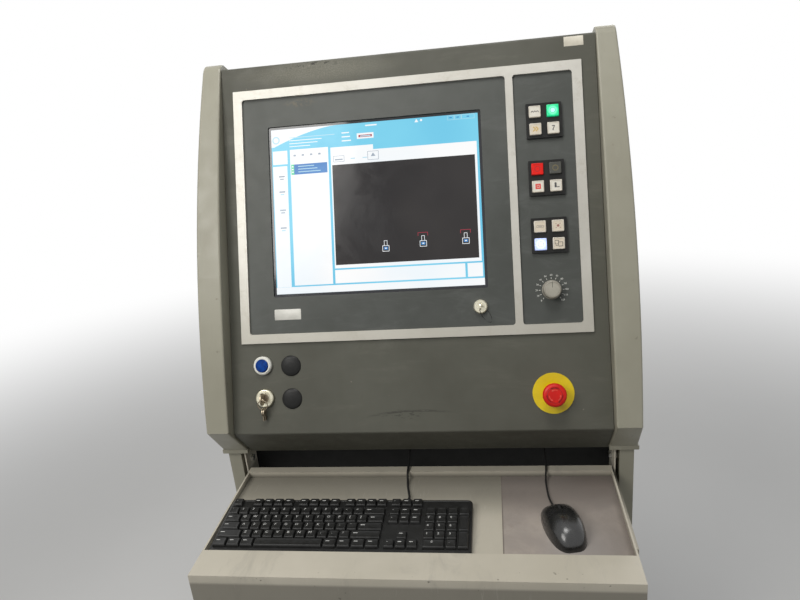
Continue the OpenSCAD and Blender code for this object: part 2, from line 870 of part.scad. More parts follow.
// Display and computer inside the head
module display_glass() {
    color([0.05, 0.06, 0.08])
        on_face(screen_x, 0, -panel_thickness - glass_thickness)
            linear_extrude(glass_thickness)
                square([cutout_width + 2 * glass_lap, cutout_height + 2 * glass_lap], center = true);
}
module display_chassis() {
    back = -panel_thickness - glass_thickness;
    width = cutout_width + 2 * glass_lap;
    height = cutout_height + 2 * glass_lap;
    color([0.15, 0.15, 0.16])
        difference() {
            union() {
                on_face(screen_x, 0, back - 18)
                    linear_extrude(18) square([width, height], center = true);
                on_face(screen_x, 0, back - display_depth)
                    linear_extrude(display_depth - 17) square([width - 80, height - 80], center = true);
            }
            for (x = [-50, 50], v = [-50, 50])
                on_face(screen_x + x, v, back - display_depth - 1) cylinder(h = 10, r = 2);
        }
}
module computer_unit() {
    depth = 70;
    width = 300;
    height = 170;
    bottom = underside_z + rear_slope_rise + 40;
    color([0.6, 0.6, 0.6])
        difference() {
            slab([-width / 2, width / 2], [head_rear - depth, head_rear],
                [bottom, bottom + height]);
            for (i = [0:9])
                translate([-width / 2 + 24 + i * 28, head_rear - depth, 0])
                    slab([-4, 4], [-1, 12], [bottom + 12, bottom + height - 12]);
        }
}

// Push-button blocks and caps
module button_block(v) {
    well = cap_size + 2 * well_gap;
    color([0.06, 0.06, 0.06])
        difference() {
            union() {
                on_face(block_x, v, 0) linear_extrude(block_proud) rounded_area(block_size, block_size, 1.5);
                on_face(block_x, v, -block_back)
                    linear_extrude(block_back + skin) square(block_body, center = true);
            }
            for (place = cap_places)
                on_face(block_x + place[0], v + place[1], -block_back + 6)
                    linear_extrude(block_back + block_proud) square(well, center = true);
        }
}
module upper_button_block() {
    button_block(block_places[0]);
}
module middle_button_block() {
    button_block(block_places[1]);
}
module lower_button_block() {
    button_block(block_places[2]);
}
cap_colors = [
    [[0.72, 0.72, 0.7], [0.05, 0.75, 0.35], [0.8, 0.76, 0.68], [0.86, 0.85, 0.82]],
    [[0.85, 0.12, 0.08], [0.2, 0.2, 0.18], [0.8, 0.76, 0.68], [0.86, 0.85, 0.82]],
    [[0.8, 0.76, 0.68], [0.8, 0.76, 0.68], [0.8, 0.86, 1], [0.8, 0.76, 0.68]]
];
module button_cap(row, place) {
    dimple = row == 1 && place == 1;
    color(cap_colors[row][place])
        on_face(block_x + cap_places[place][0], block_places[row] + cap_places[place][1], 0)
            difference() {
                union() {
                    translate([0, 0, -cap_tail])
                        linear_extrude(cap_tail + cap_proud - cap_step) square(cap_size, center = true);
                    linear_extrude(cap_proud) square(cap_size - 2 * cap_step, center = true);
                }
                if (dimple)
                    translate([0, 0, cap_proud - cap_step]) cylinder(h = 2, r = cap_size / 3.4);
            }
}

// Override knob with its stub shaft, and the potentiometer behind the panel
module override_knob() {
    color([0.5, 0.49, 0.46])
        on_face(knob_place[0], knob_place[1], 0)
            difference() {
                rotate_extrude()
                    polygon([
                        [0, -16],
                        [shaft_radius, -16],
                        [shaft_radius, knob_gap],
                        [knob_radius, knob_gap],
                        [knob_radius, knob_gap + 2.5],
                        [knob_radius - 1, knob_gap + 3.5],
                        [knob_radius - 1.6, knob_height - 1.2],
                        [knob_radius - 2.8, knob_height],
                        [0, knob_height]
                    ]);
                translate([-0.6, 4, knob_height - 0.6]) cube([1.2, knob_radius, 3]);
            }
}
module override_pot() {
    color([0.3, 0.32, 0.36])
        on_face(knob_place[0], knob_place[1], 0)
            difference() {
                union() {
                    translate([0, 0, -panel_thickness - 18]) cylinder(h = 18, r = 12);
                    translate([0, 0, -panel_thickness - 1])
                        cylinder(h = panel_thickness + 1, r = shaft_radius + 2);
                    translate([-9, -20, -panel_thickness - 16]) cube([18, 12, 3]);
                }
                translate([0, 0, -17]) cylinder(h = 20, r = shaft_radius + running_gap);
            }
}

// Lit round push-button
module lamp_ring() {
    color([0.85, 0.83, 0.75])
        on_face(lamp_place[0], lamp_place[1], 0)
            rotate_extrude()
                polygon([
                    [stem_radius + running_gap, -barrel_back],
                    [barrel_radius, -barrel_back],
                    [barrel_radius, 0],
                    [bezel_radius, 0],
                    [bezel_radius, lamp_proud - 2.5],
                    [bezel_radius - 2.2, lamp_proud],
                    [bezel_radius - 4.6, lamp_proud],
                    [bezel_radius - 4.8, lamp_pocket],
                    [stem_radius + running_gap, lamp_pocket]
                ]);
}
module lamp_button() {
    color([0.02, 0.2, 0.6])
        on_face(lamp_place[0], lamp_place[1], 0)
            rotate_extrude()
                polygon([
                    [0, -20],
                    [stem_radius, -20],
                    [stem_radius, lamp_pocket + lamp_travel + skin],
                    [bezel_radius - 5.1, lamp_pocket + lamp_travel + skin],
                    [bezel_radius - 5.1, lamp_proud + 1],
                    [bezel_radius - 6, lamp_proud + 1.8],
                    [0, lamp_proud + 2.2]
                ]);
}

// Key switch with three positions, its key and the keys that hang from it
module key_switch_barrel() {
    color([0.7, 0.68, 0.6])
        on_face(key_place[0], key_place[1], 0)
            difference() {
                rotate_extrude()
                    polygon([
                        [stem_radius + running_gap, -barrel_back],
                        [barrel_radius, -barrel_back],
                        [barrel_radius, 0],
                        [bezel_radius, 0],
                        [bezel_radius, key_proud - 2],
                        [bezel_radius - 1.2, key_proud - 0.5],
                        [bezel_radius - 2.5, key_proud],
                        [stem_radius + running_gap, key_proud]
                    ]);
                for (a = [45, 90, 135])
                    translate([11.5 * cos(a), 11.5 * sin(a), key_proud - 0.5]) cylinder(h = 2, r = 0.9);
            }
}
module key_bow(radius, reach, thickness, hole) {
    rotate([90, 0, 90])
        linear_extrude(thickness, center = true)
            difference() {
                union() {
                    translate([0, reach - radius]) circle(radius);
                    translate([-radius * 0.45, 0]) square([radius * 0.9, reach - radius]);
                }
                translate([0, reach - radius + 2]) circle(hole);
            }
}
module switch_key() {
    color([0.45, 0.42, 0.36])
        on_face(key_place[0], key_place[1], 0) {
            translate([0, 0, -22]) cylinder(h = 22 + key_proud + 0.4, r = stem_radius);
            translate([0, 0, key_proud]) key_bow(bow_radius, bow_out + 2, bow_thickness, bow_hole);
        }
}
ring_hang = bow_hole - ring_wire - 0.3;
ring_pivot_out = key_proud + bow_out + 2 - bow_radius + 2;
module small_key(length) {
    rotate([90, 0, 90])
        linear_extrude(1.8, center = true)
            difference() {
                union() {
                    circle(7);
                    translate([-3, -length]) square([6, length]);
                }
                translate([0, 4]) circle(2.6);
            }
}
module hanging_keys() {
    pivot = face_point(key_place[1], ring_pivot_out);
    color([0.6, 0.58, 0.5])
        translate([key_place[0], pivot[0], pivot[1]]) {
            translate([0, 0, -ring_hang - ring_radius])
                rotate([90, 0, 0]) rotate_extrude() translate([ring_radius, 0]) circle(ring_wire, $fn = 24);
            for (side = [-1, 1])
                translate([side * 1.3, 0, -ring_hang - 2 * ring_radius])
                    rotate([side * 4, 0, 0]) translate([0, 0, -5]) small_key(16);
        }
}

// Blanking plugs
module blanking_plugs() {
    color([0.04, 0.04, 0.04])
        for (place = plug_places)
            on_face(place[0], place[1], 0)
                rotate_extrude()
                    polygon([
                        [0, -8],
                        [barrel_radius, -8],
                        [barrel_radius, 0],
                        [plug_radius, 0],
                        [plug_radius - 0.4, 1.2],
                        [plug_radius - 2, 2.4],
                        [plug_radius - 6, 3.6],
                        [plug_radius - 12, 4.3],
                        [0, 4.6]
                    ]);
}

// Emergency stop: disc, collar, sliding stem and turning mushroom
module estop_disc() {
    color([0.85, 0.78, 0.02])
        on_face(estop_place[0], estop_place[1], 0)
            difference() {
                cylinder(h = disc_thickness, r = estop_disc_radius, $fn = 96);
                translate([0, 0, -1]) cylinder(h = disc_thickness + 2, r = device_hole);
            }
}
module estop_collar() {
    color([0.8, 0.72, 0.05])
        on_face(estop_place[0], estop_place[1], 0)
            rotate_extrude()
                polygon([
                    [stem_radius + running_gap, -barrel_back],
                    [barrel_radius, -barrel_back],
                    [barrel_radius, disc_thickness],
                    [collar_radius, disc_thickness],
                    [collar_radius, collar_proud - 1],
                    [collar_radius - 1, collar_proud],
                    [stem_radius + running_gap, collar_proud]
                ]);
}
estop_shoulder = collar_proud + estop_travel + 1;
module estop_stem() {
    color([0.6, 0.1, 0.08])
        on_face(estop_place[0], estop_place[1], 0)
            rotate_extrude()
                polygon([
                    [0, -22],
                    [stem_radius, -22],
                    [stem_radius, estop_shoulder],
                    [spigot_radius, estop_shoulder],
                    [spigot_radius, spigot_end],
                    [0, spigot_end]
                ]);
}
module estop_head() {
    r = estop_head_radius;
    color([0.8, 0.1, 0.08])
        on_face(estop_place[0], estop_place[1], 0)
            difference() {
                rotate_extrude($fn = 96)
                    polygon([
                        [spigot_radius + running_gap, estop_shoulder + slide_gap],
                        [r - 6, estop_shoulder + slide_gap],
                        [r - 3, estop_shoulder + 4],
                        [r - 0.6, estop_shoulder + 7],
                        [r, estop_proud - 9],
                        [r, estop_proud - 5],
                        [r - 1.5, estop_proud - 2.2],
                        [r - 4.5, estop_proud - 0.8],
                        [r - 8, estop_proud - 0.2],
                        [0, estop_proud],
                        [0, spigot_end + slide_gap],
                        [spigot_radius + running_gap, spigot_end + slide_gap]
                    ]);
                for (a = [90:120:330])
                    rotate(a) turn_mark(r);
            }
}
module turn_mark(r) {
    translate([0, 0, estop_proud - 2.6])
        intersection() {
            difference() {
                cylinder(h = 4, r = r - 6);
                translate([0, 0, -1]) cylinder(h = 6, r = r - 8.2);
            }
            linear_extrude(5) polygon([[0, 0], [30, -18], [30, 18]]);
        }
}
module contact_blocks() {
    color([0.2, 0.22, 0.24])
        for (place = [lamp_place, key_place, estop_place])
            on_face(place[0], place[1], -barrel_back - contact_depth)
                linear_extrude(contact_depth) square([contact_width, contact_height], center = true);
}

// Lock of the screen panel and its small key
module panel_lock() {
    color([0.75, 0.73, 0.66])
        on_face(lock_place[0], lock_place[1], 0)
            rotate_extrude()
                polygon([
                    [lock_core_radius + running_gap, -24],
                    [lock_radius - 2, -24],
                    [lock_radius - 2, 0],
                    [lock_radius, 0],
                    [lock_radius, lock_proud - 1.6],
                    [lock_radius - 1.6, lock_proud],
                    [lock_core_radius + running_gap, lock_proud]
                ]);
}
module panel_lock_key() {
    color([0.7, 0.68, 0.6])
        on_face(lock_place[0], lock_place[1], 0) {
            translate([0, 0, -22]) cylinder(h = 22 + lock_proud - 0.4, r = lock_core_radius);
            translate([0, 0, lock_proud - 1]) key_bow(6, 15, 1.8, 2);
            translate([0, 0, -27]) cylinder(h = 6, r = 4);
            translate([-4, -5, -30]) cube([8, 30, 3.1]);
        }
}

// Keyboard: sloped case and rows of tapered keys; widths are in key pitches, gaps are negative
function place_of(widths, i) = i == 0 ? 0 : place_of(widths, i - 1) + abs(widths[i - 1]);
function ones(count) = [for (i = [1:count]) 1];
function_row = concat([1, -1], ones(4), [-0.5], ones(4), [-0.5], ones(4));
letter_rows = [
    concat(ones(13), [2]),
    concat([1.5], ones(12), [1.5]),
    concat([1.75], ones(11), [2.25]),
    concat([2.25], ones(10), [2.75]),
    [1.25, 1.25, 1.25, 6.25, 1.25, 1.25, 1.25, 1.25]
];
middle_rows = [ones(3), ones(3), [-3], [-1, 1, -1], ones(3)];
number_rows = [ones(4), ones(3), ones(3), ones(3), [2, 1]];
function key_ring(width, depth, z) = [
    for (corner = [[1, 1], [-1, 1], [-1, -1], [1, -1]])
        [corner[0] * width / 2, corner[1] * depth / 2, z]
];
module key(width, depth) {
    base = 1.4;
    taper = 5;
    loft([
        key_ring(width * key_pitch - base, depth * key_pitch - base, 0),
        key_ring(width * key_pitch - taper, depth * key_pitch - taper, key_height)
    ]);
}
module key_row(widths, x, y) {
    for (i = [0:len(widths) - 1])
        if (widths[i] > 0)
            translate([x + (place_of(widths, i) + widths[i] / 2) * key_pitch, y, 0])
                key(widths[i], 1);
}
module keyboard() {
    slope = atan((keyboard_rear_height - keyboard_front_height) / keyboard_depth);
    side = (keyboard_width - 22 * key_pitch - 2 * block_gap) / 2;
    rear_margin = (keyboard_depth - 6 * key_pitch - 4) / 5;
    middle_x = side + 15 * key_pitch + block_gap;
    number_x = middle_x + 3 * key_pitch + block_gap;
    top_row = keyboard_depth - rear_margin - key_pitch / 2;
    color([0.05, 0.05, 0.05])
        translate([keyboard_left, keyboard_front, floor_top]) {
            translate([keyboard_width / 2, keyboard_depth / 2, 0])
                intersection() {
                    linear_extrude(40) rounded_area(keyboard_width, keyboard_depth, 6);
                    side_extrude(-keyboard_width / 2, keyboard_width / 2)
                        polygon([
                            [-keyboard_depth / 2, 1],
                            [-keyboard_depth / 2 + 3, 0],
                            [keyboard_depth / 2 - 3, 0],
                            [keyboard_depth / 2, 1],
                            [keyboard_depth / 2, keyboard_rear_height],
                            [-keyboard_depth / 2, keyboard_front_height]
                        ]);
                }
            translate([0, 0, keyboard_front_height - 0.5])
                rotate([slope, 0, 0]) {
                    key_row(function_row, side, top_row);
                    key_row(ones(3), middle_x, top_row);
                    for (i = [0:4]) {
                        y = top_row - 4 - (i + 1) * key_pitch;
                        key_row(letter_rows[i], side, y);
                        key_row(middle_rows[i], middle_x, y);
                        key_row(number_rows[i], number_x, y);
                    }
                    for (i = [2, 4])
                        translate([number_x + 3.5 * key_pitch, top_row - 4 - (i + 0.5) * key_pitch, 0])
                            key(1, 2);
                }
            translate([keyboard_cord_out[0] - keyboard_left, keyboard_depth - 1, 8])
                rotate([-90, 0, 0])
                    cylinder(h = 11, r1 = keyboard_cord_radius + 2, r2 = keyboard_cord_radius + 0.6);
        }
}
module keyboard_cord() {
    color([0.03, 0.03, 0.03]) tube(smoothed(keyboard_cord_route), keyboard_cord_radius, 8);
}

// Mouse: sections from the rear to the nose, as [place, width, height] in shares of its half sizes
mouse_sections = [
    [-1, 0.28, 0.2], [-0.94, 0.5, 0.42], [-0.8, 0.7, 0.66], [-0.6, 0.84, 0.86], [-0.3, 0.95, 0.98],
    [0, 1, 1], [0.3, 1, 0.94], [0.6, 0.96, 0.8], [0.84, 0.87, 0.62], [0.96, 0.74, 0.45], [1, 0.58, 0.3]
];
function mouse_ring(section, wall) = [
    for (i = [0:14])
        let (a = -90 + 180 * i / 14)
            [
                (mouse_half_width * section[1] - wall) * sign(sin(a)) * pow(abs(sin(a)), 0.8),
                section[0] * (mouse_half - wall),
                (mouse_height * section[2] - wall) * pow(max(cos(a), 0), 0.8)
            ]
];
module mouse_form(wall) {
    loft([for (section = mouse_sections) mouse_ring(section, wall)]);
}
module on_mat() {
    translate([mouse_x, mouse_y, mat_top]) rotate(mouse_turn) children();
}
module button_zone(left, right, gap) {
    slab([left, right], [mouse_split - gap, 2 * mouse_half], [button_floor - 2 * gap, 2 * mouse_height]);
}
module mouse_body() {
    ear = 1.6;
    slot = wheel_width / 2 + slide_gap;
    color([0.04, 0.04, 0.05])
        on_mat() {
            difference() {
                mouse_form(0);
                button_zone(-2 * mouse_half_width, 2 * mouse_half_width, skin);
                slab([-slot, slot], [wheel_y - wheel_radius - 1, wheel_y + wheel_radius + 1],
                    [wheel_z - wheel_radius - 1, mouse_height]);
            }
            difference() {
                both_sides()
                    slab([slot, slot + ear], [wheel_y - 3, wheel_y + 3],
                        [button_floor - 1 - skin, wheel_z + 3]);
                translate([0, wheel_y, wheel_z])
                    rod_x(-slot - ear - 1, slot + ear + 1, 1.5 + running_gap);
            }
            translate([0, mouse_half - 1, 6])
                rotate([-90, 0, 0])
                    cylinder(h = 10, r1 = mouse_cord_radius + 1.4, r2 = mouse_cord_radius + 0.5);
        }
}
module mouse_button(left, right) {
    slot = wheel_width / 2 + 1;
    color([0.04, 0.04, 0.05])
        on_mat()
            intersection() {
                difference() {
                    mouse_form(0);
                    mouse_form(mouse_wall);
                    slab([-slot, slot], [wheel_y - wheel_radius - 1, wheel_y + wheel_radius + 1],
                        [0, mouse_height]);
                }
                button_zone(left, right, 0);
            }
}
module mouse_left_button() {
    mouse_button(-2 * mouse_half_width, -0.4);
}
module mouse_right_button() {
    mouse_button(0.4, 2 * mouse_half_width);
}
module mouse_wheel() {
    reach = wheel_width / 2 + slide_gap + 1.6;
    color([0.15, 0.15, 0.16])
        on_mat()
            translate([0, wheel_y, wheel_z]) {
                difference() {
                    rod_x(-wheel_width / 2, wheel_width / 2, wheel_radius);
                    for (a = [0:20:340])
                        rotate([a, 0, 0])
                            translate([-wheel_width, wheel_radius - 0.4, -0.6])
                                cube([2 * wheel_width, 2, 1.2]);
                }
                rod_x(-reach, reach, 1.5);
            }
}
module mouse_cord() {
    color([0.03, 0.03, 0.03]) tube(smoothed(mouse_cord_route), mouse_cord_radius, 8);
}
module mouse_mat() {
    color([0.62, 0.6, 0.57])
        slab([mat_left, tray_inner - slide_gap], [floor_front + 1, rim_front - 1], [floor_top, mat_top]);
}

// Grommets where the cords enter the head
module grommet_place(route) {
    end = route[len(route) - 1];
    translate([end[0], end[1], underside_z]) children();
}
module grommet(cord_radius) {
    rotate_extrude()
        polygon([
            [cord_radius + 0.1, sheet + 2],
            [cord_radius + 0.1, -grommet_drop + 0.01],
            [grommet_radius - 3, -grommet_drop + 0.01],
            [grommet_radius, -1.5],
            [grommet_radius, 0],
            [grommet_radius - 2, 0],
            [grommet_radius - 2, sheet + 0.1],
            [grommet_radius - 1, sheet + 2]
        ]);
}
module cord_grommets() {
    color([0.03, 0.03, 0.03]) {
        grommet_place(keyboard_cord_route) grommet(keyboard_cord_radius);
        grommet_place(mouse_cord_route) grommet(mouse_cord_radius);
    }
}

// Screws, bolts and nuts
module bolt_x(left, right) {
    rod_x(left - skin, right, bolt_radius);
    rod_x(left - bolt_head_height, left, bolt_head, $fn = 6);
}
module hex_nut(bottom) {
    difference() {
        translate([0, 0, bottom]) cylinder(h = nut_height, r = nut_radius, $fn = 6);
        rod_z(bottom - 1, bottom + nut_height + 1, stud_radius + running_gap);
    }
}
module fasteners() {
    lip_bottom = floor_top - sheet - bracket_thickness;
    color([0.7, 0.7, 0.7]) {
        cover_screw_places() {
            rod_y(-8, sheet + skin, screw_radius);
            rod_y(sheet, sheet + screw_head_height, screw_head);
        }
        both_sides() {
            for (place = pad_places)
                translate([0, place[0], place[1]]) bolt_x(head_half - sheet, head_half + 16);
            flange_bolt_places() {
                rod_z(flange_bottom - skin, flange_top + 14, bolt_radius);
                translate([0, 0, flange_bottom - bolt_head_height])
                    cylinder(h = bolt_head_height, r = bolt_head, $fn = 6);
            }
            bracket_bolt_places() bolt_x(bracket_inner, post_inner + tube_wall + 4);
            tray_screw_places() {
                rod_z(lip_bottom - skin, floor_top - 1, screw_radius);
                rod_z(lip_bottom - screw_head_height, lip_bottom, screw_head);
            }
            foot_pads(pad_offset) {
                hex_nut(foot_bottom - nut_height);
                hex_nut(foot_top);
            }
        }
    }
}

console() {
    head_shell();
    rear_cover();
    left_column();
    right_column();
    left_post();
    right_post();
    left_tray_bracket();
    right_tray_bracket();
    tray();
    left_foot_bar();
    right_foot_bar();
    cross_beam();
    levelling_feet();
    lower_panel();
    bezel_frame();
    screen_panel();
    button_panel();
    display_glass();
    display_chassis();
    computer_unit();
    upper_button_block();
    middle_button_block();
    lower_button_block();
    button_cap(0, 0);  // upper_cap_1
    button_cap(0, 1);  // upper_cap_2
    button_cap(0, 2);  // upper_cap_3
    button_cap(0, 3);  // upper_cap_4
    button_cap(1, 0);  // middle_cap_1
    button_cap(1, 1);  // middle_cap_2
    button_cap(1, 2);  // middle_cap_3
    button_cap(1, 3);  // middle_cap_4
    button_cap(2, 0);  // lower_cap_1
    button_cap(2, 1);  // lower_cap_2
    button_cap(2, 2);  // lower_cap_3
    button_cap(2, 3);  // lower_cap_4
    override_knob();
    override_pot();
    lamp_ring();
    lamp_button();
    key_switch_barrel();
    switch_key();
    hanging_keys();
    blanking_plugs();
    estop_disc();
    estop_collar();
    estop_stem();
    estop_head();
    contact_blocks();
    panel_lock();
    panel_lock_key();
    keyboard();
    keyboard_cord();
    mouse_body();
    mouse_left_button();
    mouse_right_button();
    mouse_wheel();
    mouse_cord();
    mouse_mat();
    cord_grommets();
    fasteners();
}
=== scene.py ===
from math import cos, pi, radians, sin, sqrt

import bmesh
import bpy
from mathutils import Matrix, Vector


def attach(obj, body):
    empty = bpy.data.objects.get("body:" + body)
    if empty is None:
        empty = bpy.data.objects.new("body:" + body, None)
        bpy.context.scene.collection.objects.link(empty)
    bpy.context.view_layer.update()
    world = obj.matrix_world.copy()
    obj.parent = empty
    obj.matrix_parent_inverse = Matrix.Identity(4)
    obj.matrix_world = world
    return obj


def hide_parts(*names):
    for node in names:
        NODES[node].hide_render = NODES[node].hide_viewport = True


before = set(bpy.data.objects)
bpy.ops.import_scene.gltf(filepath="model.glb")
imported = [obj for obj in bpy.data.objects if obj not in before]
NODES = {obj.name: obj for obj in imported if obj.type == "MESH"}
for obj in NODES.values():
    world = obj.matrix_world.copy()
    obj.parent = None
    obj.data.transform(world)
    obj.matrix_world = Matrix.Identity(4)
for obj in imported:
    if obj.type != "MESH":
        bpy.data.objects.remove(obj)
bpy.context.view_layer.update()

MM = 0.001

# Places: the console's own millimetres, and the sloped face as (x, along the face, off the face)
TILT = radians(20.65)
MIDDLE_Y = -0.0937984
SCREEN_HEIGHT = 1.4
FACE = Matrix((
    (1, 0, 0, 0),
    (0, sin(TILT), -cos(TILT), -MIDDLE_Y),
    (0, cos(TILT), sin(TILT), SCREEN_HEIGHT),
    (0, 0, 0, 1),
))


def spot(x, y, z):
    """A place given in the console's own millimetres."""
    return Vector((x * MM, y * MM - MIDDLE_Y, z * MM + SCREEN_HEIGHT))


def face_place(x, along):
    """The sloped face's frame, moved to a place on the face in millimetres."""
    return FACE @ Matrix.Translation((x * MM, along * MM, 0))


def add_object(name, data):
    made = bpy.data.objects.new(name, data)
    bpy.context.scene.collection.objects.link(made)
    return made


# Camera: the photograph's place, direction and lens
CAMERA_PLACE = (0.1538, -1.0429, 1.6172)
CAMERA_YAW = radians(-9.093)
CAMERA_PITCH = radians(19.056)
CAMERA_ROLL = radians(-5.568)
CAMERA_LENS = 29.42
SENSOR_WIDTH = 36


def make_camera():
    flat = cos(CAMERA_PITCH)
    forward = Vector((sin(CAMERA_YAW) * flat, cos(CAMERA_YAW) * flat, -sin(CAMERA_PITCH)))
    level = Vector((cos(CAMERA_YAW), -sin(CAMERA_YAW), 0))
    above = level.cross(forward)
    right = level * cos(CAMERA_ROLL) + above * sin(CAMERA_ROLL)
    up = -level * sin(CAMERA_ROLL) + above * cos(CAMERA_ROLL)
    data = bpy.data.cameras.new("camera")
    data.sensor_width = SENSOR_WIDTH
    data.lens = CAMERA_LENS
    camera = add_object("camera", data)
    turn = Matrix((right, up, -forward)).transposed().to_4x4()
    camera.matrix_world = Matrix.Translation(CAMERA_PLACE) @ turn
    bpy.context.scene.camera = camera


make_camera()


# Node materials
class Shader:
    """Nodes of a material, or of the world."""
    def __init__(self, name, world=None):
        self.material = world or bpy.data.materials.new(name)
        self.material.use_nodes = True
        self.tree = self.material.node_tree
        self.tree.nodes.clear()
        self.output = self.tree.nodes.new("ShaderNodeOutputWorld" if world else "ShaderNodeOutputMaterial")

    def add(self, kind, inputs, output=0, **settings):
        node = self.tree.nodes.new("ShaderNode" + kind)
        for name, value in settings.items():
            setattr(node, name, value)
        for key, value in inputs.items():
            self.put(node.inputs[key], value)
        return node.outputs[output]

    def put(self, socket, value):
        if isinstance(value, bpy.types.NodeSocket):
            self.tree.links.new(value, socket)
        elif socket.type == "RGBA" and len(value) == 3:
            socket.default_value = (*value, 1)
        else:
            socket.default_value = value

    def where(self, scale=(1, 1, 1), on_face=False):
        place = self.add("TexCoord", {}, 3)
        if on_face:
            place = self.add("Mapping", {
                "Vector": place,
                "Location": (0, -MIDDLE_Y, SCREEN_HEIGHT),
                "Rotation": (pi / 2 - TILT, 0, 0),
            }, vector_type="TEXTURE")
        return self.add("Mapping", {"Vector": place, "Scale": scale})

    def noise(self, place, scale, detail=2.0, rough=0.5, distortion=0.0):
        return self.add("TexNoise", {
            "Vector": place, "Scale": scale, "Detail": detail,
            "Roughness": rough, "Distortion": distortion,
        })

    def steps(self, value, low, high, to_low=0.0, to_high=1.0):
        return self.add("MapRange", {
            "Value": value, "From Min": low, "From Max": high, "To Min": to_low, "To Max": to_high,
        }, interpolation_type="SMOOTHSTEP")

    def patches(self, place, scale, to_low=0.0, to_high=1.0, detail=4, rough=0.6):
        """Soft clouds of noise between two values."""
        return self.steps(self.noise(place, scale, detail, rough), 0.3, 0.7, to_low, to_high)

    def mix(self, share, first, second):
        return self.add("Mix", {0: share, 6: first, 7: second}, 2, data_type="RGBA")

    def math(self, operation, first, second=0.0):
        return self.add("Math", {0: first, 1: second}, operation=operation)

    def times(self, first, second):
        return self.math("MULTIPLY", first, second)

    def most(self, first, second):
        return self.math("MAXIMUM", first, second)

    def axis(self, place, index):
        return self.add("SeparateXYZ", {0: place}, index)

    def around(self, place, centre, reach):
        """1 at centre, falling to 0 at the reach given for each axis."""
        shifted = self.add("VectorMath", {0: place, 1: centre}, operation="SUBTRACT")
        scaled = self.add("VectorMath", {0: shifted, 1: tuple(1 / r for r in reach)}, operation="MULTIPLY")
        length = self.add("VectorMath", {0: scaled}, 1, operation="LENGTH")
        return self.steps(length, 1.0, 0.2)

    def bump(self, height, strength, distance):
        return self.add("Bump", {"Height": height, "Strength": strength, "Distance": distance})

    def done(self, colour, roughness, metallic=0.0, normal=None, specular=0.5, **more):
        inputs = {"Base Color": colour, "Roughness": roughness, "Metallic": metallic,
                  "Specular IOR Level": specular}
        if normal is not None:
            inputs["Normal"] = normal
        inputs.update({key.replace("_", " "): value for key, value in more.items()})
        self.put(self.output.inputs["Surface"], self.add("BsdfPrincipled", inputs))
        return self.material

    def swapped(self, plain, seen, share=1.0):
        """The plain shader for light, and the seen one for camera, mirror and glass rays."""
        path = self.tree.nodes.new("ShaderNodeLightPath").outputs
        mirrored = self.most(path["Is Glossy Ray"], path["Is Transmission Ray"])
        direct = self.most(path["Is Camera Ray"], mirrored)
        blend = self.add("MixShader", {0: self.times(share, direct), 1: plain, 2: seen})
        self.put(self.output.inputs["Surface"], blend)


PEEL_DEPTH = 0.00012


def coated(s, place, tone, gloss_scale, low, high, peel, specular, depth=PEEL_DEPTH):
    """Finish of a powder coat: uneven gloss over orange peel."""
    rough = s.patches(place, gloss_scale, low, high)
    normal = s.bump(s.noise(place, peel), 0.3, depth)
    return s.done(tone, rough, normal=normal, specular=specular)


def black_paint():
    """Powder coat with soft clouds and darker specks."""
    s = Shader("black_coat")
    p = s.where()
    cloud = s.noise(p, 4.5, 5, 0.6)
    tone = s.mix(s.steps(cloud, 0.32, 0.68), (0.009, 0.009, 0.0085), (0.006, 0.006, 0.0055))
    speck = s.steps(s.noise(p, 190, 3, 0.65), 0.66, 0.76, 0, 0.25)
    tone = s.mix(speck, tone, (0.0027, 0.0027, 0.002475))
    rough = s.patches(p, 55, 0.53, 0.67)
    normal = s.bump(s.noise(p, 420), 0.35, PEEL_DEPTH)
    return s.done(tone, rough, normal=normal, specular=0.15)


